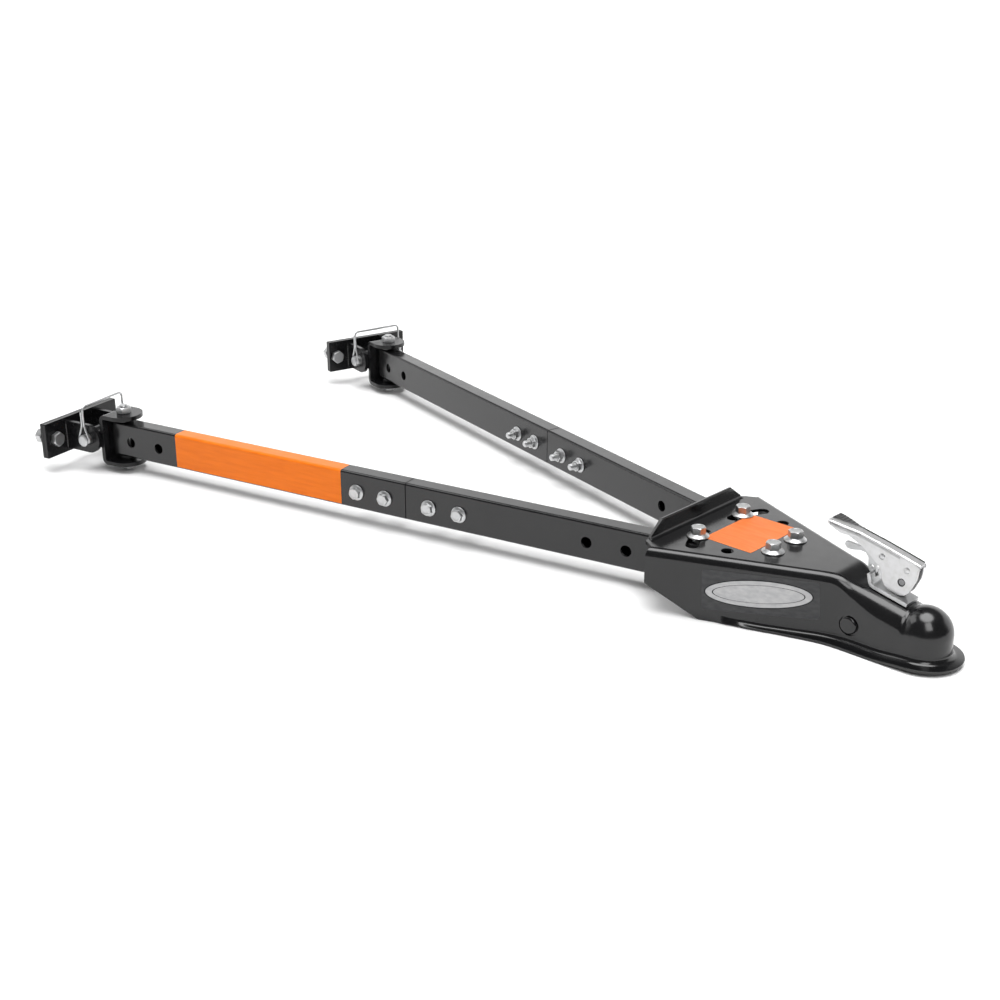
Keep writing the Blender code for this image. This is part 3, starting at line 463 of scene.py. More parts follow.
# ---------------------------------------------------------------- fasteners

def hexagon_radius(turn, width):
    sector = math.radians(60)
    offset = (turn + sector / 2) % sector - sector / 2
    return width / 2 / math.cos(math.radians(30) - abs(offset))


def head_rings(width, height, flange, edge=1.6, slope=0.28):
    """Rings of a hexagon head from its top down to its bearing face, its corners trimmed by a cone."""
    top = 0.475 * width
    turns = [math.tau * i / RING for i in range(RING)]
    reach = [hexagon_radius(turn, width) for turn in turns]

    def around(radius, z):
        return [(radius * math.cos(t), radius * math.sin(t), z) for t in turns]

    def outline(height_at):
        return [(r * math.cos(t), r * math.sin(t), height_at(r)) for r, t in zip(reach, turns)]

    rings = [around(0.7 * top, height - 0.35), around(0.78 * top, height), around(top, height)]
    rings.append(outline(lambda r: height - (r - top) * 0.577))
    if not flange:
        return rings + [outline(lambda r: 0.4), around(0.97 * width / 2, 0)]
    rings.append(outline(lambda r: edge + (flange - r) * slope))
    return rings + [around(flange - 0.3, edge + 0.08), around(flange, edge - 0.3), around(flange, 0.3),
                    around(flange - 0.3, 0)]


def thread_rings(radius, start, end, pitch):
    """Ridged rings down a bolt from start to end, with a chamfered tip."""
    rings, z = [], start
    while z - pitch > end + 1.4:
        for r, drop in ((radius, 0.1), (radius - 0.55 * pitch, 0.5), (radius, 0.9)):
            rings.append([(x, y, z - drop * pitch) for x, y in circle(r)])
        z -= pitch
    for r, level in ((radius - 0.2, end + 1.2), (radius - 1.2, end)):
        rings.append([(x, y, level) for x, y in circle(r)])
    return rings


def soften_edges(mesh, width, above):
    """Bevels the sharp edges that lie above a height, for a head's worn corners."""
    made = bmesh.new()
    made.from_mesh(mesh)
    sharp = [edge for edge in made.edges if edge.is_manifold and edge.calc_face_angle() > math.radians(28)
             and min(v.co.z for v in edge.verts) > above * MM]
    bmesh.ops.bevel(made, geom=sharp, offset=width * MM, segments=2, profile=0.5, affect="EDGES")
    made.to_mesh(mesh)
    made.free()
    return mesh


def bolt(name, radius, length, width, height, flange=None, plain=0.0, pitch=1.95):
    rings = head_rings(width, height, flange, slope=0.5)
    rings.append([(x, y, 0) for x, y in circle(radius)])
    rings.append([(x, y, -plain) for x, y in circle(radius)])
    rings += thread_rings(radius, -plain, -length, pitch)
    return soften_edges(loft(name, rings), 0.22, 0.5)


def nut(name, radius, width, height, flange=None):
    rings = head_rings(width, height, flange)[1:]
    bore = [(radius + 0.1, 0.6), (radius + 0.1, height - 0.8), (radius + 1.0, height)]
    rings += [[(x, y, z) for x, y in circle(r)] for r, z in [(radius + 0.8, 0)] + bore]
    return soften_edges(loft(name, rings, closed=True), 0.22, 1.0)


def fasten(name, mesh, place, body, node):
    return simple(name, mesh, place, ZINC, body, node, sharp=28)


PLATE_BOLT = bolt("plate_bolt", BOLT_HALF, 70, 16, 12.5, 13.4, plain=40)
PLATE_NUT = nut("plate_nut", BOLT_HALF, 19, 10.5, 13)
SPLICE_BOLT = bolt("splice_bolt", SPLICE_BOLT_HALF, 44, 14.3, 8, 10.8, plain=26, pitch=1.6)
SPLICE_NUT = nut("splice_nut", SPLICE_BOLT_HALF, 14.3, 8.5, 10.6)
YOKE_BOLT = bolt("yoke_bolt", BOLT_HALF, 87.1, 19, 9.2, None, plain=60)
YOKE_NUT = nut("yoke_nut", BOLT_HALF, 19, 9, None)
BUMPER_BOLT = bolt("bumper_bolt", BOLT_HALF, PLATE_BOLT_LENGTH, 19, 8, None, plain=5)
BUMPER_NUT = nut("bumper_nut", BOLT_HALF, 19, 10.5, None)


def washer(name, bore, outer, thick, place, body, finish=None):
    section = [(bore, 0), (outer - 0.3, 0), (outer, 0.3), (outer, thick - 0.3), (outer - 0.3, thick), (bore, thick)]
    return simple(name, ring_body(name, section), place, finish or ZINC, body)


# ---------------------------------------------------------------- coupler

def larger(a, b, fillet=3.0):
    """The larger of two lengths, with a fillet where they are alike."""
    h = max(fillet - abs(a - b), 0.0) / fillet
    return max(a, b) + h * h * fillet / 4


def wall_half_width(x):
    if x <= BALL_X:
        return larger(WALL_HALF + (KINK_X - x) * TAPER, WALL_HALF, 9.0)
    return math.sqrt(max(DOME_RADIUS ** 2 - (x - BALL_X) ** 2, 0.0))


def plate_height(x):
    slope = SLOPE_FOOT[1] + (SLOPE_FOOT[0] - x) * SLOPE_FALL
    height = blend(PLATE_TOP, slope, smooth_step(x, 80, 108))
    return blend(height, SOCKET_Z + 0.7 * DOME_RADIUS, smooth_step(x, 168, 176))


def shoulder_radius(x):
    return blend(SHOULDER, 25, smooth_step(x, 88, 145))


def section_reach(angle, height, corner, half):
    """Distance from the socket line to the channel's outline in the direction of angle."""
    flat_to, wall_to = half - corner, height - corner
    up, out = math.sin(angle), math.cos(angle)
    if up > 0 and out * height <= flat_to * up:
        return height / up
    if out > 0 and up * half <= wall_to * out:
        return half / out
    along = flat_to * out + wall_to * up
    return along + math.sqrt(max(corner ** 2 - (flat_to ** 2 + wall_to ** 2 - along ** 2), 0.0))


SHOULDER_STEPS = 16


def upper_profile(x):
    """Points (y, z) of the outer skin from the spine to the side wall at x."""
    half, top, corner = wall_half_width(x), plate_height(x), shoulder_radius(x)
    bend = arc((half - corner, top - corner), corner, 90, 0, SHOULDER_STEPS)
    shape = [(0, top), ((half - corner) / 2, top)] + bend
    if x <= KINK_X:
        middle = blend(top, lip_start(x), 0.5)
        return shape + [(half, blend(middle, SOCKET_Z, smooth_step(x, 20, KINK_X)))]
    angles = [math.atan2(z - SOCKET_Z, y) for y, z in shape] + [0.0]
    even = [math.radians(90) * (1 - i / (len(angles) - 1)) for i in range(len(angles))]
    share = smooth_step(x, 120, 176)
    dome = math.sqrt(max(DOME_RADIUS ** 2 - (x - BALL_X) ** 2, 0.0))
    points = []
    for angle, level in zip(angles, even):
        angle = blend(angle, level, share)
        reach = section_reach(angle, top - SOCKET_Z, corner, half) if x < BALL_X else dome
        if x < BALL_X and dome:
            reach = larger(reach, dome) if angle > 0.01 else half
        points.append((reach * math.cos(angle), SOCKET_Z + reach * math.sin(angle)))
    return points


def lip_angle(x):
    return max(LIP_ANGLE * smooth_step(x, -42, 20), 0.001)


def lip_bend(x):
    return blend(5, 7, smooth_step(x, 80, 115))


def lip_flat(x):
    """Length of the lip beyond its bend, so that its edge stands out from the wall by LIP_REACH."""
    spans = zip(LIP_REACH, LIP_REACH[1:])
    reach = next((blend(low[1], high[1], max((x - low[0]) / (high[0] - low[0]), 0)) for low, high in spans
                  if x <= high[0]), LIP_REACH[-1][1])
    angle = lip_angle(x)
    flat = (reach - lip_bend(x) * (1 - math.cos(angle))) / math.sin(angle) if angle > 0.05 else 9
    return min(max(flat, 1.5), 9)


def lip_start(x):
    """Height at which the wall turns out into the lip, so that the lip ends level at the bottom."""
    angle = lip_angle(x)
    drop = (lip_bend(x) + SKIN) * math.sin(angle) + lip_flat(x) * math.cos(angle)
    rise = max((HEEL_X - x) * HEEL_RISE, 0.0) + NOSE_RISE * smooth_step(x, 140, 190)
    return BOTTOM + drop + rise


def lower_profile(x, steps=12):
    """Offsets (out, z) from the wall's foot to the lip's edge, outwards from the wall."""
    angle, start, bend = lip_angle(x), lip_start(x), lip_bend(x)
    points = []
    for i in range(steps + 1):
        turn = angle * i / steps
        points.append((bend * (1 - math.cos(turn)), start - bend * math.sin(turn)))
    out, z = points[-1]
    for share in (0.5, 1.0):
        reach = share * lip_flat(x)
        points.append((out + reach * math.sin(angle), z - reach * math.cos(angle)))
    return points


def wall_normal(x):
    """Plan direction that points out of the side wall at +Y."""
    if x >= BALL_X:
        return Vector((x - BALL_X, wall_half_width(x))).normalized()
    slope = (wall_half_width(x + 0.05) - wall_half_width(x - 0.05)) / 0.1
    return Vector((-slope, 1)).normalized()


def coupler_stations():
    rear = [REAR_X + 0.5 + i * (KINK_X - 24 - REAR_X) / 66 for i in range(67)]
    front = [rear[-1] + (BALL_X - rear[-1]) * i / 84 for i in range(1, 84)]
    dome = [BALL_X + DOME_RADIUS * math.sin(math.radians(90) * i / 24) for i in range(25)]
    return rear + front + dome


def coupler_skin():
    """The outer skin, from the rear edge to the nose."""
    made = bmesh.new()
    for side in (1, -1):
        rows = []
        for x in coupler_stations():
            half, normal = wall_half_width(x), wall_normal(x)
            upper = [(x, side * y, z) for y, z in upper_profile(x)]
            lower = [(x + out * normal.x, side * (half + out * normal.y), z) for out, z in lower_profile(x)]
            rows.append([made.verts.new(Vector(point) * MM) for point in upper + lower])
        for low, high in zip(rows, rows[1:]):
            for i in range(len(low) - 1):
                corners = (low[i], high[i], high[i + 1], low[i + 1])
                made.faces.new(corners if side > 0 else corners[::-1])
    bmesh.ops.remove_doubles(made, verts=made.verts, dist=0.02 * MM)
    return finished(made, "coupler_skin")


def slot_outline(centre_y, side, half):
    """The curved slot in the plate, about its arm's pivot."""
    points = arc((0, 0), SLOT_STATION + half, SLOT_FROM, SLOT_TO, 20)
    for angle, turn, radius in ((SLOT_TO, 0, -1), (SLOT_FROM, 180, 1)):
        spot = arc((0, 0), SLOT_STATION, angle, angle, 1)[0]
        points += arc(spot, half, angle + turn + 12, angle + turn + 168, 10)
        if radius < 0:
            points += arc((0, 0), SLOT_STATION - half, SLOT_TO, SLOT_FROM, 20)
    return [(-x, centre_y + side * y) for x, y in points]


def chamfered_cut(outline_at, top):
    """A cutter through the plate whose mouth opens a little, for the rounded edge of a punched hole."""
    return stack("punch", [(outline_at(0), top - 14), (outline_at(0), top - 0.7), (outline_at(0.25), top - 0.25),
                           (outline_at(0.9), top + 0.05), (outline_at(0.9), top + 5)])


def rear_flange():
    rear, front, base = FLANGE_REAR, FLANGE_REAR + SHEET, PLATE_TOP - SHEET
    section = [(rear, base + 2, FLANGE_HALF_BASE), (rear, FLANGE_TOP - 1, FLANGE_HALF_TOP),
               (rear + 1, FLANGE_TOP, FLANGE_HALF_TOP), (front - 1, FLANGE_TOP, FLANGE_HALF_TOP),
               (front, FLANGE_TOP - 1, FLANGE_HALF_TOP)]
    for i in range(7):
        turn = math.radians(90 * i / 6)
        x, z = front + 4 * (1 - math.cos(turn)), PLATE_TOP + 4 * (1 - math.sin(turn))
        section.append((x, z, FLANGE_HALF_BASE - 4.5 + 3.5 * i / 6))
    section += [(front + 4, PLATE_TOP - 0.6, FLANGE_HALF_BASE - 1), (front, base + 0.6, FLANGE_HALF_BASE - 1),
                (rear + 2.4, base + 0.6, FLANGE_HALF_BASE - 0.5)]
    return loft("flange", [[(x, side * half, z) for x, z, half in section] for side in (1, -1)])


def plate_tail():
    wide, narrow = wall_half_width(REAR_X) - SHOULDER - 0.5, FLANGE_HALF_BASE + 3
    rear, front = FLANGE_REAR + 1.6, REAR_X + 5
    outline = [(front, -wide), (front, wide), (REAR_X, wide), (rear, narrow), (rear, -narrow), (REAR_X, -wide)]
    return prism("tail", outline, PLATE_TOP - SHEET, PLATE_TOP)


def make_coupler():
    body = Piece("coupler_shell", coupler_skin(), COUPLER)
    sheet = body.object.modifiers.new("sheet", "SOLIDIFY")
    sheet.thickness = SKIN * MM
    sheet.offset = -1
    sheet.use_even_offset = True
    body.bevel(0.5, 2, 60)
    body.join(plate_tail())
    body.join(rear_flange(), edge=0.8)
    for side in SIDES.values():
        out = moved(BOSS_X, side * WALL_HALF, BOSS_Z) @ turned_about("X", -90 * side)
        body.join(turned("boss", [(10.6, -2), (10.6, 0.6), (10.2, 1.5), (9.4, 2.3), (8.2, 2.6), (3, 2.7)]), out)
        body.combine(ring_body("groove", [(10.2, -1.6), (12.2, -1.6), (12.2, 3), (10.2, 3)]), out @ moved(0.7))
        body.combine(turned("pocket", [(6.4, -10), (6.4, -1.8)]), out)
        centre = side * PIVOT_HALF_SPACING
        body.combine(chamfered_cut(lambda grow, s=side, c=centre: slot_outline(c, s, SLOT_HALF + grow), PLATE_TOP))
        for x, y, radius in ((0, centre, BOLT_HALF + 0.4), (SPARE_HOLE[0], side * SPARE_HOLE[1], SPARE_HOLE_HALF)):
            body.combine(chamfered_cut(lambda grow, r=radius: circle(r + grow, 40), PLATE_TOP), moved(x, y))
    tilt = moved(LATCH_PIVOT[0], 0, LATCH_PIVOT[1]) @ turned_about("Y", math.degrees(LEAN))
    body.combine(turned("draw_hole", [(5.5, -50), (5.5, -12)]), tilt)
    body.done(COAT, "coupler", "coupler_body", sharp=32)


def wall_film(name, outline_at, inside, finish, lift_off):
    """A label on the near side wall, as a thin sheet. outline_at gives (x, z) for a share round its edge."""
    rings = []
    count = 96
    for shrink in inside:
        rings.append([outline_at(i / count, shrink) for i in range(count)])
    made = bmesh.new()
    rows = []
    for ring in rings:
        row = []
        for x, z in ring:
            normal = wall_normal(x)
            y = wall_half_width(x)
            row.append(made.verts.new(Vector((x + lift_off * normal.x, -(y + lift_off * normal.y), z)) * MM))
        rows.append(row)
    for low, high in zip(rows, rows[1:]):
        for i in range(count):
            j = (i + 1) % count
            made.faces.new((low[i], low[j], high[j], high[i]))
    if inside[-1] < 0.05:
        made.faces.new(rows[-1])
    bmesh.ops.recalc_face_normals(made, faces=made.faces)
    mesh = finished(made, name)
    piece = Piece(name, mesh, COUPLER)
    film = piece.object.modifiers.new("film", "SOLIDIFY")
    film.thickness = 0.1 * MM
    film.offset = 0
    piece.done(finish, "coupler")


def quad_edge(corners):
    """A function that walks round a four-cornered outline, with its corners a little rounded."""
    outline = rounded(corners, (2.5,), 5)
    lengths = [(Vector(outline[i]) - Vector(outline[i - 1])).length for i in range(len(outline))]
    total = sum(lengths)
    centre = sum((Vector(point) for point in corners), Vector((0, 0))) / len(corners)

    def at(share, shrink):
        left = share * total
        for i, length in enumerate(lengths):
            if left <= length or i == len(lengths) - 1:
                here = Vector(outline[i - 1]).lerp(Vector(outline[i]), min(left / max(length, 1e-9), 1))
                return tuple(centre + (here - centre) * shrink)
            left -= length
    return at


def oval_edge(centre, half_length, half_height, tilt):
    def at(share, shrink):
        turn = math.tau * share
        u, v = half_length * shrink * math.cos(turn), half_height * shrink * math.sin(turn)
        return centre[0] + u * math.cos(tilt) - v * math.sin(tilt), centre[1] + u * math.sin(tilt) + v * math.cos(tilt)
    return at


def make_coupler_labels():
    panel = quad_edge([(-49.5, 16.6), (73, 20.4), (76.5, -24.6), (-47.5, -33.4)])
    wall_film("side_label", panel, (1.0, 0.8, 0.5, 0.2, 0.02), GREY_FILM, 0.12)
    centre, tilt = (11.1, -4.6), math.radians(6.2)
    oval = oval_edge(centre, 57.5, 17.6, tilt)
    wall_film("side_badge_rim", oval, (1.0, 0.7, 0.4, 0.02), DARK_FILM, 0.24)
    oval = oval_edge(centre, 56, 16.2, tilt)
    wall_film("side_badge", oval, (1.0, 0.7, 0.4, 0.02), SILVER_FILM, 0.36)
    ring = oval_edge(centre, 49, 11.2, tilt)
    wall_film("side_badge_line", ring, (1.0, 0.975), DARK_FILM, 0.48)
    outline = rounded([(-82.4, -44), (-16.2, -44), (-16.2, 54), (-82.4, 54)], (1.5,), 4)
    film = Piece("plate_label", prism("plate_label", outline, PLATE_TOP + 0.02, PLATE_TOP + 0.16), COUPLER)
    for side in SIDES.values():
        film.combine(prism("slot", slot_outline(side * PIVOT_HALF_SPACING, side, SLOT_HALF + 1.2), 20, 40))
    film.done(PALE_ORANGE, "coupler")


def make_plate_bolts():
    for name, side in SIDES.items():
        under = -TUBE_HEIGHT / 2 - GAP
        for kind, place, body in (("pivot", COUPLER @ moved(0, side * PIVOT_HALF_SPACING), "coupler"),
                                  ("slot", ARMS[name] @ moved(-SLOT_STATION), f"{name}_arm")):
            turn = turned_about("Z", 17 * side + (25 if kind == "slot" else 5))
            fasten(f"{name}_{kind}_flange_bolt", PLATE_BOLT, place @ moved(0, 0, PLATE_TOP + GAP / 2) @ turn, body,
                   f"{name}_{kind}_bolt")
            fasten(f"{name}_{kind}_flange_nut", PLATE_NUT, place @ moved(0, 0, under) @ turned_about("X", 180), body,
                   f"{name}_{kind}_nut")


# ---------------------------------------------------------------- latch

def make_saddle():
    above = Vector((LATCH_PIVOT[0] - SLOPE_FOOT[0], LATCH_PIVOT[1] - SLOPE_FOOT[1]))
    under = GAP - (above.x * math.sin(LEAN) + above.y * math.cos(LEAN))
    top, bend, lip_turn = under + SADDLE_SHEET, 4.0, 66
    hinge = (-26.5, top + bend)
    outline = [(16.5, under), (16.5, top)] + arc(hinge, bend, 270, 270 - lip_turn, 8)
    along = Vector((-math.cos(math.radians(lip_turn)), math.sin(math.radians(lip_turn))))
    inner, outer = (Vector(arc(hinge, r, 270 - lip_turn, 270 - lip_turn, 1)[0]) for r in (bend, bend + SADDLE_SHEET))
    lip = 9.5
    outline += [tuple(inner + along * lip), tuple(outer + along * lip)]
    outline += arc(hinge, bend + SADDLE_SHEET, 270 - lip_turn, 270, 10)
    saddle = Piece("latch_saddle_plate", prism("saddle", outline, -SADDLE_HALF, SADDLE_HALF, "Y"), LATCH)
    saddle.combine(turned("hole", [(5.2, under - 5), (5.2, top + 5)]))
    notch = inner + along * lip
    cut = [(notch.x - 12, -3.2), (notch.x + 9, -3.2), (notch.x + 9, 3.2), (notch.x - 12, 3.2)]
    saddle.combine(prism("notch", cut, notch.y - 6, notch.y + 6))
    saddle.bevel(0.7, 2, 50).done(ZINC, "coupler", "latch_saddle")


def make_draw_bolt():
    eye = turned("eye", [(6.9, -3.6), (7.5, -3), (7.5, 3), (6.9, 3.6)])
    lying = turned_about("X", 90)
    draw = Piece("eye_bolt", eye, LATCH @ lying)
    upright = turned_about("X", -90)
    nut_top, pitch = -73.4, 1.5
    shank = [[(x, y, -5) for x, y in circle(3.7)], [(x, y, -40) for x, y in circle(3.7)]]
    draw.join(loft("shank", shank + thread_rings(3.7, -40, nut_top - 7.5, pitch)), upright)
    head = loft("lock_nut", head_rings(14, 6, None))
    draw.join(head, upright @ moved(0, 0, nut_top) @ turned_about("X", 180))
    draw.combine(turned("hole", [(4.25, -9), (4.25, 9)]))
    draw.done(ZINC, "draw_bolt", "draw_bolt")


def lever_outline():
    """Side view of the lever's ear from its pivot. Its lower edge is a cam that lets the draw bolt drop."""
    closed = -math.degrees(LEAN) - 90
    points = []
    for i in range(25):
        turn = -18 + (LEVER_TRAVEL + 18) * i / 24
        points += arc((0, 0), CAM_RADIUS - CAM_FALL * turn / LEVER_TRAVEL, closed + turn, closed + turn, 1)[:1]
    x0, z0 = LATCH_PIVOT
    front = [(171.4, 43), (172.4, 50), (173.0, 58.5)]
    top = [(169.5, 61.2), (125, 71.9), (94, 78.2), (64, 83.4)]
    under = [(62, 81.3), (68, 78.5), (80, 74.2), (92, 69.2), (104, 63.6), (112, 58.2), (120, 51.5), (125.5, 47.6),
             (129.4, 42), (131.2, 33), (134.3, 27.2), (141, 22.5)]
    return points + [(x - x0, z - z0) for x, z in front + top + under]


def strip(name, sections, thick):
    """A folded strip through (x, z, half width, drop of its rims) sections, arched over a soft bend."""
    rings = []
    for x, z, half, drop in sections:
        bend = min(3.4, half * 0.6)
        outer = [(half, z - bend - drop * 0.4)] + arc((half - bend, z - bend), bend, 0, 90, 7)
        outer += [(-y, level) for y, level in outer[::-1]]
        inner = [(half - thick, z - bend - drop * 0.4)]
        inner += arc((half - bend, z - bend), max(bend - thick, 0.4), 0, 90, 7)
        inner += [(-y, level) for y, level in inner[::-1]]
        rings.append([(x, y, level) for y, level in outer + inner[::-1]])
    return loft(name, rings)


def make_lever():
    x0, z0 = LATCH_PIVOT
    lying = turned_about("X", 90)
    lever = Piece("hand_lever", prism("lever", lever_outline(), -LEVER_HALF, LEVER_HALF, "Y"), LEVER)
    inside = [(-110, -40), (40, -40), (40, 20), (20, 21.5), (-29.5, 34), (-60.5, 40), (-110, 49)]
    inner = LEVER_HALF - LEVER_SHEET
    lever.combine(prism("channel", inside, -inner, inner, "Y"))
    lever.combine(turned("pivot_hole", [(4.7, -20), (4.7, 20)]), lying)
    spot = moved(TRIGGER_PIVOT[0] - x0, 0, TRIGGER_PIVOT[1] - z0)
    lever.combine(turned("rivet_hole", [(2.9, -20), (2.9, 20)]), spot @ lying)
    sections = [(173.4, 60.4, 7.1, 3.0), (172.4, 62.0, 7.15, 3.0), (150, 67.8, 7.15, 3.0), (125, 73.8, 7.15, 3.0),
                (110, 76.9, 7.15, 3.6), (99, 79.3, 7.4, 5.5), (90, 81.2, 9.0, 11), (80, 83.3, 11.6, 15),
                (71, 85.2, 13.2, 10.5), (65, 86.3, 13.9, 3.5), (61.8, 86.6, 13.0, 1.5)]
    dense = through([(x, z, half) for x, z, half, _ in sections], 4)
    drops = through([(x, 0, drop) for x, _, _, drop in sections], 4)
    web = [(p.x - x0, p.y - z0, p.z, d.z) for p, d in zip(dense, drops)]
    lever.join(strip("web", web, LEVER_SHEET))
    lever.bevel(0.45, 2, 55).done(LEVER_ZINC, "lever", "latch_lever", sharp=40)
    make_lever_grip(x0, z0)
    pin = [(2.4, -6.4), (3.6, -6.1), (3.6, 6.1), (2.4, 6.4)]
    simple("latch_cross_pin", turned("pin", pin), LEVER @ lying, DULL_ZINC, "lever", "latch_pivot_pin")
    # A dark bead along the far rim of the web. Its colour is painted shade for the web's shaded far edge.
    rim = [(x - x0, z - z0) for x, z in ((172.6, 62.1), (150, 67.9), (125, 73.9), (110, 77.0), (99, 79.4), (90, 81.3))]
    edge = [(0, -6.1, 0), (0, -6.1, 0.55), (0, -7.0, 0.1), (0, -7.45, -0.9), (0, -7.45, -1.6), (0, -6.6, -1.2)]
    bead = [[(x, -y, z + dz) for _, y, dz in edge] for x, z in rim]
    simple("lever_far_shade_bead", loft("bead", bead), LEVER, FAR_SHADE_ZINC, "lever")
    # A grey bead along the near crease below the web. Its darker colour is painted shade in the crease.
    crease = [(x - x0, z - z0, half) for x, z, half, _ in sections[2:-1]]
    edge = [(0.02, -2.7), (0.3, -3.3), (0.3, -5.0), (-0.1, -5.4), (-0.6, -4.4)]
    bead = [[(x, -half - out, z + level) for out, level in edge] for x, z, half in crease]
    simple("lever_near_crease_shade", loft("bead", bead), LEVER, CREASE_SHADE_ZINC, "lever")
    rivet = [(1.4, -8.6), (2.6, -8.3), (3.4, -7.6), (3.5, -7.1), (2.5, -7.1), (2.5, 7.1), (3.5, 7.1), (3.4, 7.6),
             (2.6, 8.3), (1.4, 8.6)]
    simple("trigger_rivet_pin", turned("rivet", rivet, 40), TRIGGER @ lying, ZINC, "lever", "trigger_rivet")
    dimple = turned("dimple", [(0.3, 1.0), (2.6, 0.7), (3.8, 0.2), (4.2, -0.3)], 40)
    simple("lever_boss", dimple, LEVER @ moved(5.2, -LEVER_HALF, 15.5) @ turned_about("X", 90), LEVER_ZINC, "lever")


def make_lever_grip(x0, z0):
    """A strip of raised cross ridges over the far half of the grip's top, in dark zinc as painted shade."""
    sections = [(98, 79.8, 6.4, 7.2), (90, 81.7, 4.2, 8.4), (80, 83.8, 0.6, 10.8), (71, 85.7, -2.4, 12.2),
                (65, 86.8, -4.4, 12.8), (62.4, 87.1, -4.4, 12.0)]
    dense = through([(x, z, near) for x, z, near, _ in sections], 10)
    wide = through([(x, 0, far) for x, _, _, far in sections], 10)
    rings = []
    for i, (p, far) in enumerate(zip(dense, wide)):
        ridge = 0.5 * (0.5 - 0.5 * math.cos(math.tau * i / 5))
        x, low, high = p.x - x0, p.y - z0 - 1.2, p.y - z0 + 0.15 + ridge
        rings.append([(x, p.z, low), (x, far.z, low - 0.8), (x, far.z, high - 1.4), (x, far.z - 1.2, high - 0.25),
                      (x, p.z + 0.5, high), (x, p.z, high - 0.3)])
    # The dark zinc here is painted shade on the grip's far half.
    simple("lever_grip", loft("grip", rings), LEVER, FAR_SHADE_ZINC, "lever")


def make_trigger():
    x0, z0 = TRIGGER_PIVOT
    upright = [(80, 62.3), (79, 58.5), (82, 54.6), (88, 54.2), (99, 56.6), (106, 55.8), (109.6, 51), (110, 43),
               (111.5, 37), (114.5, 33.8), (119, 33.4), (120.4, 36.4), (119.5, 43), (124, 50), (132, 54), (135, 60),
               (131, 65.5), (124, 66), (104, 62), (92, 61.5)]
    outline = rounded([(x - x0, z - z0) for x, z in upright], (1.6,), 3)
    trigger = Piece("finger_trigger", prism("trigger", outline, -2.2, 2.2, "Y"), TRIGGER)
    lying = turned_about("X", 90)
    trigger.combine(turned("hole", [(2.85, -8), (2.85, 8)], 32), lying)
    trigger.combine(turned("lock_hole", [(2.2, -8), (2.2, 8)], 32), moved(-13.5, 0, -17.5) @ lying)
    trigger.bevel(0.5, 2, 50).done(ZINC, "trigger", "latch_trigger")


def make_ball_clamp():
    ball = (BALL_X - BOSS_X, -17 - BOSS_Z)
    outline = [(-9, -6), (-5, 6), (50, 6), (53, 2), (53, -9), (59, -14.5), (56, -17), (44, -10), (-5, -10)]
    clamp = Piece("ball_jaw", prism("jaw", rounded(outline, (1.2,), 3), -21, 21, "Y"), CLAMP)
    clamp.join(turned("stubs", [(5.4, -28.6), (5.4, 28.6)], 40), turned_about("X", 90))
    turns = [math.pi * (i + 0.5) / 32 for i in range(32)]
    seat = [(25.9 * math.sin(t), 25.9 * math.cos(t)) for t in turns]
    clamp.combine(turned("seat", seat, 64), moved(ball[0], 0, ball[1]))
    drop = moved(LATCH_PIVOT[0] - BOSS_X, 0, LATCH_PIVOT[1] - BOSS_Z) @ turned_about("Y", math.degrees(LEAN))
    clamp.combine(prism("draw_slot", rounded_box(6.5, 5, 3), -90, -40), drop)
    clamp.bevel(0.5, 2, 50).done(DULL_ZINC, "ball_clamp", "ball_clamp")


def make_clamp_spring():
    """The spring round the draw bolt, between the slope's underside and the clamp."""
    turns, top, low = 5.5, -30.5, -48
    count = int(turns * 10)
    route = []
    for i in range(count + 1):
        turn, share = math.tau * turns * i / count, i / count
        route.append((6.4 * math.cos(turn), 6.4 * math.sin(turn), blend(top, low, share)))
    wire("clamp_spring", route, 0.9, LATCH, DULL_ZINC, "coupler")


# ---------------------------------------------------------------- arms

def tube(name, half_width, half_height, wall, corner, rear, front):
    outer = rounded_box(half_width, half_height, corner)
    inner = rounded_box(half_width - wall, half_height - wall, max(corner - wall, 0.6))
    rings = []
    for outline, x in ((outer, rear), (outer, front), (inner, front), (inner, rear)):
        rings.append([(x, y, z) for y, z in outline])
    return loft(name, rings, closed=True)


def make_tubes():
    half, tall = TUBE_WIDTH / 2, TUBE_HEIGHT / 2
    lying = turned_about("X", 90)
    for name in SIDES:
        spans = {"front": (SEAM_GAP / 2 - SEAM_STATION, FRONT_OVERHANG),
                 "rear": (-TUBE_END_STATION, -SEAM_GAP / 2 - SEAM_STATION)}
        holes = {"front": FRONT_HOLES, "rear": REAR_HOLES}
        upright = {"front": (0, SLOT_STATION), "rear": (YOKE_STATION,)}
        bolts = {"front": SPLICE_STATIONS[:2], "rear": SPLICE_STATIONS[2:]}
        for end, (rear, front) in spans.items():
            made = Piece(f"{name}_{end}_arm_tube",
                         tube("tube", half, tall, TUBE_WALL, TUBE_CORNER, rear, front), ARMS[name])
            for station in holes[end]:
                made.combine(turned("hole", [(7.2, -20), (7.2, 20)], 48), moved(-station, 0, -SIDE_HOLE_DROP) @ lying)
            for station in bolts[end]:
                made.combine(turned("hole", [(5.1, -20), (5.1, 20)], 40), moved(-station, 0, -SIDE_HOLE_DROP) @ lying)
            for station in upright[end]:
                made.combine(turned("hole", [(6.7, -40), (6.7, 40)], 48), moved(-station))
            made.bevel(0.45, 2, 60).done(TUBE_COAT, f"{name}_arm", f"{name}_{end}_tube", sharp=40)
        inner_half, inner_tall = half - TUBE_WALL - GAP, tall - TUBE_WALL - GAP
        made = Piece(f"{name}_inner_tube", tube("tube", inner_half, inner_tall, TUBE_WALL, 1.0,
                                                -SEAM_STATION - 110, -SEAM_STATION + 110), ARMS[name])
        for station in SPLICE_STATIONS:
            made.combine(turned("hole", [(5.1, -20), (5.1, 20)], 40), moved(-station, 0, -SIDE_HOLE_DROP) @ lying)
        made.done(TUBE_COAT, f"{name}_arm", f"{name}_splice_tube", sharp=40)


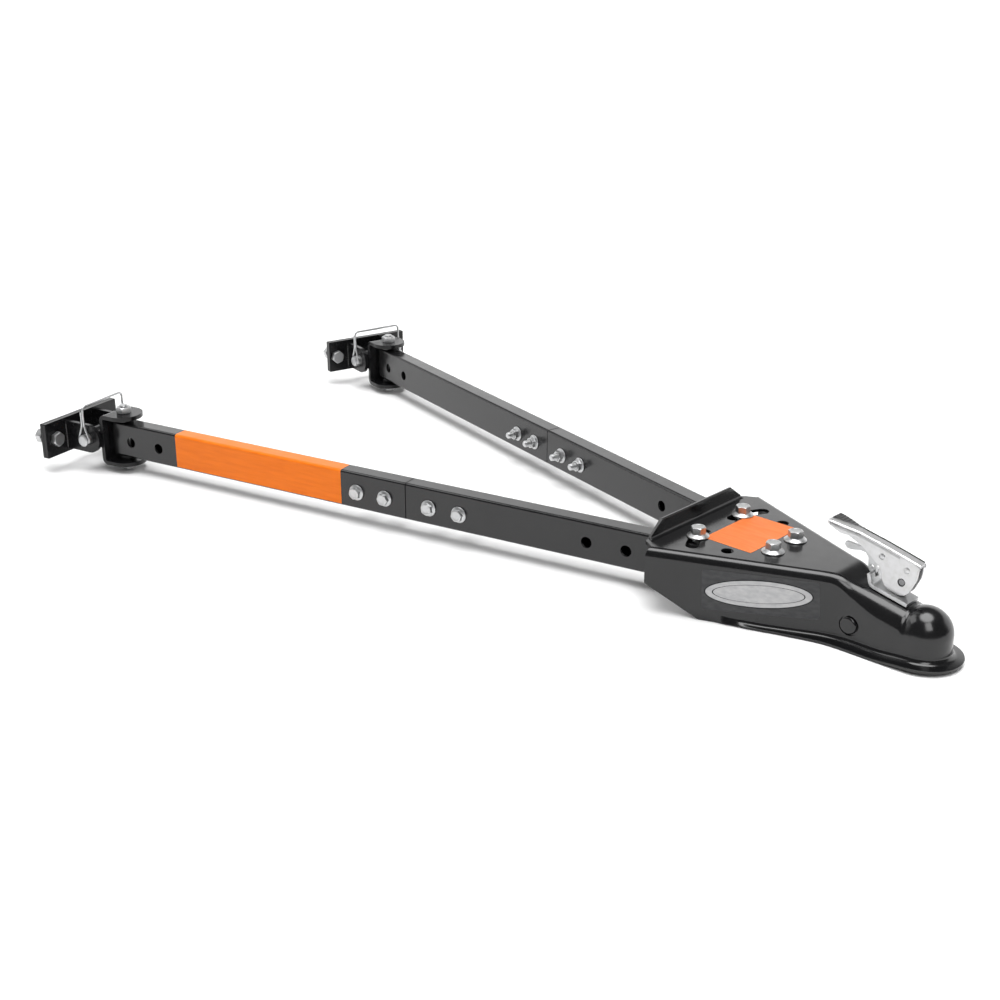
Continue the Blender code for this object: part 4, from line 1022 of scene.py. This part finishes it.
def make_splice_bolts():
    face = TUBE_WIDTH / 2 + GAP / 2
    for name, side in SIDES.items():
        for number, station in enumerate(SPLICE_STATIONS, 1):
            spin = turned_about("Z", 23 * number + 11 * side)
            place = ARMS[name] @ moved(-station, side * face, -SIDE_HOLE_DROP) @ turned_about("X", -90 * side)
            fasten(f"{name}_flange_bolt_{number}", SPLICE_BOLT, place @ spin, f"{name}_arm",
                   f"{name}_splice_bolt_{number}")
            place = ARMS[name] @ moved(-station, -side * face, -SIDE_HOLE_DROP) @ turned_about("X", 90 * side)
            fasten(f"{name}_flange_nut_{number}", SPLICE_NUT, place @ spin, f"{name}_arm",
                   f"{name}_splice_nut_{number}")


def make_arm_label():
    """The orange film round the near arm's outer side and top."""
    half, tall, low = TUBE_WIDTH / 2, TUBE_HEIGHT / 2, -TUBE_HEIGHT / 2 + 2.6

    def path(grow):
        corner = TUBE_CORNER + grow
        points = [(-half - grow, low)] + arc((-half + TUBE_CORNER, tall - TUBE_CORNER), corner, 180, 90, 8)
        return points + [(half - TUBE_CORNER, tall + grow)]
    outline = path(0.18) + path(0.02)[::-1]
    mesh = prism("arm_label", outline, -LABEL_STATIONS[1], -LABEL_STATIONS[0], "X")
    simple("arm_label", mesh, ARMS["right"], ORANGE, "right_arm")


# ---------------------------------------------------------------- yoke, bracket, pin and bail

def yoke_block(top):
    """The yoke's plan pushed up through its full height, with its two rear bends rounded over."""
    nose = [(x * YOKE_FRONT / YOKE_HALF, y) for x, y in arc((0, 0), YOKE_HALF, -90, 90, 32)]
    made = bmesh.new()
    made.from_mesh(prism("yoke", [(-YOKE_WEB, -YOKE_HALF)] + nose + [(-YOKE_WEB, YOKE_HALF)], -top, top))
    rear = [edge for edge in made.edges if all(v.co.x < (0.1 - YOKE_WEB) * MM for v in edge.verts)
            and abs(edge.verts[0].co.z - edge.verts[1].co.z) < 1e-6]
    bmesh.ops.bevel(made, geom=rear, offset=9 * MM, segments=8, profile=0.5, affect="EDGES")
    return finished(made, "yoke")


def make_yoke(name):
    place, body, top = YOKES[name], f"{name}_yoke", YOKE_INSIDE + EAR_SHEET
    yoke = Piece(f"{name}_swivel_yoke", yoke_block(top), place)
    throat = [(60, YOKE_INSIDE), (EAR_SHEET - YOKE_WEB, YOKE_INSIDE), (EAR_SHEET - YOKE_WEB, -YOKE_INSIDE),
              (60, -YOKE_INSIDE)]
    yoke.combine(prism("throat", rounded(throat, (0, 3, 3, 0), 6), -40, 40, "Y"))
    yoke.combine(turned("bolt_hole", [(6.7, -50), (6.7, 50)], 48))
    half = BRACKET_INSIDE - GAP
    neck = [(-PIN_FROM_YOKE, -10), (1 - YOKE_WEB, -13), (1 - YOKE_WEB, 13), (-PIN_FROM_YOKE, 10)]
    yoke.join(prism("neck", neck, -YOKE_HALF + 1, YOKE_HALF - 1, "Y"))
    lying = turned_about("X", 90)
    yoke.join(turned("barrel", [(BARREL_HALF - 0.8, -half), (BARREL_HALF, -half + 0.8), (BARREL_HALF, half - 0.8),
                                (BARREL_HALF - 0.8, half)], 56), moved(-PIN_FROM_YOKE) @ lying)
    yoke.combine(turned("pin_hole", [(8.25, -40), (8.25, 40)], 48), moved(-PIN_FROM_YOKE) @ lying)
    yoke.bevel(0.7, 2, 50).done(FITTING_COAT, body, f"{name}_yoke", sharp=40)
    fasten(f"{name}_swivel_bolt", YOKE_BOLT, place @ moved(0, 0, -top - GAP / 2) @ turned_about("X", 180), body,
           f"{name}_yoke_bolt")
    fasten(f"{name}_swivel_nut", YOKE_NUT, place @ moved(0, 0, top + GAP / 2), body, f"{name}_yoke_nut")
    spacer = YOKE_INSIDE - TUBE_HEIGHT / 2 - 0.5
    for end, low in (("upper", TUBE_HEIGHT / 2 + 0.3), ("lower", -TUBE_HEIGHT / 2 - 0.3 - spacer)):
        washer(f"{name}_{end}_spacer", 6.5, 12.2, spacer, place @ moved(0, 0, low), body, COAT)


def weld_bead(name, start, end, place, finish, body, seed):
    """A row of overlapped weld ripples between two points."""
    rng = random.Random(seed)
    line = Vector(end) - Vector(start)
    count = max(int(line.length / 1.1), 4)
    across = Vector((0, 0, 1)) if abs(line.normalized().z) < 0.9 else Vector((1, 0, 0))
    u = line.normalized().cross(across).normalized()
    v = line.normalized().cross(u)
    rings = []
    for i in range(count + 1):
        share = i / count
        ripple = 2.1 + 0.28 * math.cos(math.tau * i / 3) + rng.uniform(-0.12, 0.12)
        radius = ripple * min(1.0, 6 * min(share, 1 - share) + 0.35)
        spot = Vector(start) + line * share
        rings.append([spot + radius * (math.cos(t) * u + math.sin(t) * v)
                      for t in (math.tau * k / 10 for k in range(10))])
    simple(name, loft(name, rings), place, finish, body, sharp=60)


def make_bracket(name, side):
    place, body, face = PINS[name], f"{name}_bracket", -PLATE_FROM_PIN
    lying = turned_about("X", 90)
    outline = [(y + side * PLATE_SHIFT, z) for y, z in rounded_box(PLATE_HALF_WIDTH, PLATE_HALF_HEIGHT, 1.2, 4)]
    bracket = Piece(f"{name}_bumper_plate", prism("plate", outline, face - PLATE_SHEET, face, "X"), place)
    ear = [(face - 1, -EAR_HALF_HEIGHT)] + arc((0, 0), EAR_HALF_HEIGHT, -90, 90, 40) + [(face - 1, EAR_HALF_HEIGHT)]
    outside = BRACKET_INSIDE + EAR_SHEET
    for low, high in ((-outside, -BRACKET_INSIDE), (BRACKET_INSIDE, outside)):
        bracket.join(prism("ear", ear, low, high, "Y"))
    bracket.combine(turned("pin_hole", [(8.25, -40), (8.25, 40)], 48), lying)
    back = face - PLATE_SHEET - GAP
    backing = Piece(f"{name}_clamp_plate", prism("plate", outline, back - PLATE_SHEET, back, "X"), place)
    for offset in (-PLATE_BOLT_OFFSET, PLATE_BOLT_OFFSET):
        hole = turned("hole", [(6.7, -20), (6.7, 20)], 40)
        for plate in (bracket, backing):
            plate.combine(hole, moved(back, offset) @ turned_about("Y", 90))
    bracket.bevel(0.6, 2, 50).done(FITTING_COAT, body, f"{name}_bumper_bracket", sharp=40)
    backing.bevel(0.6, 2, 50).done(FITTING_COAT, body, f"{name}_backing_plate", sharp=40)
    for number, y in enumerate((-outside - 0.4, outside + 0.4), 1):
        weld_bead(f"{name}_ear_weld_{number}", (face + 0.4, y, -EAR_HALF_HEIGHT), (face + 0.4, y, EAR_HALF_HEIGHT),
                  place, COAT, body, number)
    for number, offset in enumerate((-PLATE_BOLT_OFFSET, PLATE_BOLT_OFFSET), 1):
        nut_x, spin = back - PLATE_SHEET - PLATE_NUT_STANDOFF, turned_about("Z", 14 + 31 * number)
        fasten(f"{name}_bumper_bolt_{number}", BUMPER_BOLT,
               place @ moved(face + GAP, offset) @ turned_about("Y", 90) @ spin, body, f"{name}_plate_bolt_{number}")
        fasten(f"{name}_bumper_nut_{number}", BUMPER_NUT,
               place @ moved(nut_x, offset) @ turned_about("Y", -90) @ spin, body, f"{name}_plate_nut_{number}")


def pin_profile():
    """The pin with a button end on each side of the bracket."""
    button = [(PIN_HALF, 36.5), (PIN_HALF + 0.7, 37.2), (PIN_HALF + 0.7, 44.6), (PIN_HALF - 0.9, 46)]
    return [(radius, -level) for radius, level in button[::-1]] + button


def make_pin(name):
    place, body = PINS[name], f"{name}_pin"
    lying = turned_about("X", 90)
    pin = Piece(f"{name}_round_pin", turned("pin", pin_profile(), 64), place @ lying)
    pin.combine(turned("cross_hole", [(1.9, 0), (1.9, 12)], 24), turned_about("X", -90) @ moved(0, BAIL_SIDE, 0))
    pin.done(ZINC, body, f"{name}_hitch_pin")
    near, far, leg, wide = -BAIL_SIDE, BAIL_SIDE, BAIL_WIRE_HALF + 0.35, PIN_HALF + BAIL_WIRE_HALF
    route = [(0, far, 5), (0, far, 20), (0, far, BAIL_TOP - 8), (0, far - 0.4, BAIL_TOP - 4),
             (0, far - 2.6, BAIL_TOP - 1), (0, far - 7, BAIL_TOP), (0, 20, BAIL_TOP), (leg / 2, 0, BAIL_TOP), (leg, -20, BAIL_TOP),
             (leg, near + 7, BAIL_TOP), (leg, near + 2.6, BAIL_TOP - 1), (leg, near + 0.4, BAIL_TOP - 4),
             (leg, near, BAIL_TOP - 8), (leg, near, 32), (leg + 0.1, near, 24), (leg + 0.9, near, 20.5),
             (wide - 1.2, near, 5.5), (wide - 0.1, near, 1.8), (wide - 0.4, near, -1.2), (wide - 2.6, near, -2.4)]
    route += [(-x, y, z) for x, y, z in route[:-9:-1]] + [(-leg, near, BAIL_TOP - 9)]
    wire(f"{name}_bail", route, BAIL_WIRE_HALF, place, ZINC, body, f"{name}_wire_bail")


# ---------------------------------------------------------------- stage

CAMERA_PLACE = (852.1, -1377.7, 722.1)
CAMERA_AZIMUTH, CAMERA_ELEVATION = 43.45, 21.77
CAMERA_LENS = 53.79


def make_camera():
    data = bpy.data.cameras.new("camera")
    data.lens = CAMERA_LENS
    data.sensor_width = 36
    data.clip_end = 100
    camera = bpy.data.objects.new("camera", data)
    bpy.context.scene.collection.objects.link(camera)
    a, e = math.radians(CAMERA_AZIMUTH), math.radians(CAMERA_ELEVATION)
    back = Vector((math.sin(a) * math.cos(e), -math.cos(a) * math.cos(e), math.sin(e)))
    place = Matrix.Translation(COUPLER.translation + Vector(CAMERA_PLACE) * MM)
    camera.matrix_world = place @ (-back).to_track_quat("-Z", "Y").to_matrix().to_4x4()
    bpy.context.scene.camera = camera


def area_light(name, place, target, size, power):
    data = bpy.data.lights.new(name, "AREA")
    data.shape = "RECTANGLE"
    data.size, data.size_y = size
    data.energy = power
    lamp = bpy.data.objects.new(name, data)
    bpy.context.scene.collection.objects.link(lamp)
    lamp.location = place
    lamp.rotation_euler = (Vector(target) - Vector(place)).to_track_quat("-Z", "Y").to_euler()
    return lamp


def make_stage():
    made = bmesh.new()
    bmesh.ops.create_grid(made, x_segments=1, y_segments=1, size=30)
    floor = bpy.data.objects.new("floor", finished(made, "floor"))
    bpy.context.scene.collection.objects.link(floor)
    floor.location.z = -0.0004
    finish = Nodes("pale_floor", "none")
    finish.shader.inputs["Roughness"].default_value = 0.9
    finish.shader.inputs["Specular IOR Level"].default_value = 0.1
    finish.ramp(finish.noise(0.8, 3), [(0.3, 0.89), (0.7, 0.91)], finish.shader.inputs["Base Color"])
    floor.data.materials.append(finish.material)
    make_sky()
    area_light("tall_softbox", (1.95, -1.4, 2.3), (0.2, 0, 0.05), (1.25, 1.7), 33)
    area_light("side_softbox", (-1.55, -0.8, 2.25), (0.3, 0, 0), (1.9, 1.2), 19)
    bpy.context.scene.view_settings.view_transform = "Standard"


TOWARDS_CAMERA = (0.69, -0.72, 0)
FAR_SKY = [(0.0, 0.215), (0.44, 0.215), (0.54, 0.02), (0.912, 0.02), (0.948, 1.0)]
CAMERA_SIDE_SKY = [(0.0, 0.017), (0.5, 0.017), (0.91, 0.017), (0.945, 1.0)]
SKY_TURNS_FROM, SKY_TURNS_TO, SKY_STRENGTH = -0.25, 0.15, 7.0


def make_sky():
    """Soft studio surroundings: a bright far side, a bright ceiling, and a dim upper wall behind the camera."""
    world = bpy.data.worlds.new("world")
    bpy.context.scene.world = world
    world.use_nodes = True
    tree, link = world.node_tree, world.node_tree.links.new
    way = tree.nodes.new("ShaderNodeTexCoord").outputs["Generated"]
    height = tree.nodes.new("ShaderNodeSeparateXYZ")
    link(way, height.inputs[0])
    facing = tree.nodes.new("ShaderNodeVectorMath")
    facing.operation = "DOT_PRODUCT"
    facing.inputs[1].default_value = TOWARDS_CAMERA
    link(way, facing.inputs[0])
    share = tree.nodes.new("ShaderNodeMapRange")
    share.interpolation_type = "SMOOTHSTEP"
    share.inputs["From Min"].default_value = SKY_TURNS_FROM
    share.inputs["From Max"].default_value = SKY_TURNS_TO
    link(facing.outputs["Value"], share.inputs["Value"])
    ramps = []
    for stops in (FAR_SKY, CAMERA_SIDE_SKY):
        ramp = tree.nodes.new("ShaderNodeValToRGB")
        while len(ramp.color_ramp.elements) < len(stops):
            ramp.color_ramp.elements.new(0.5)
        for element, (position, grey) in zip(ramp.color_ramp.elements, stops):
            element.position, element.color = position, (grey, grey, grey, 1)
        link(height.outputs["Z"], ramp.inputs["Fac"])
        ramps.append(ramp.outputs["Color"])
    mix = tree.nodes.new("ShaderNodeMix")
    mix.data_type = "RGBA"
    link(share.outputs["Result"], mix.inputs[0])
    link(ramps[0], mix.inputs[6])
    link(ramps[1], mix.inputs[7])
    sky = tree.nodes["Background"]
    link(mix.outputs[2], sky.inputs["Color"])
    sky.inputs["Strength"].default_value = SKY_STRENGTH


def main():
    make_camera()
    make_coupler()
    make_coupler_labels()
    make_plate_bolts()
    make_saddle()
    make_draw_bolt()
    make_lever()
    make_trigger()
    make_ball_clamp()
    make_clamp_spring()
    make_tubes()
    make_splice_bolts()
    make_arm_label()
    for name, side in SIDES.items():
        make_yoke(name)
        make_bracket(name, side)
        make_pin(name)
    make_stage()


main()
bpy.context.view_layer.update()
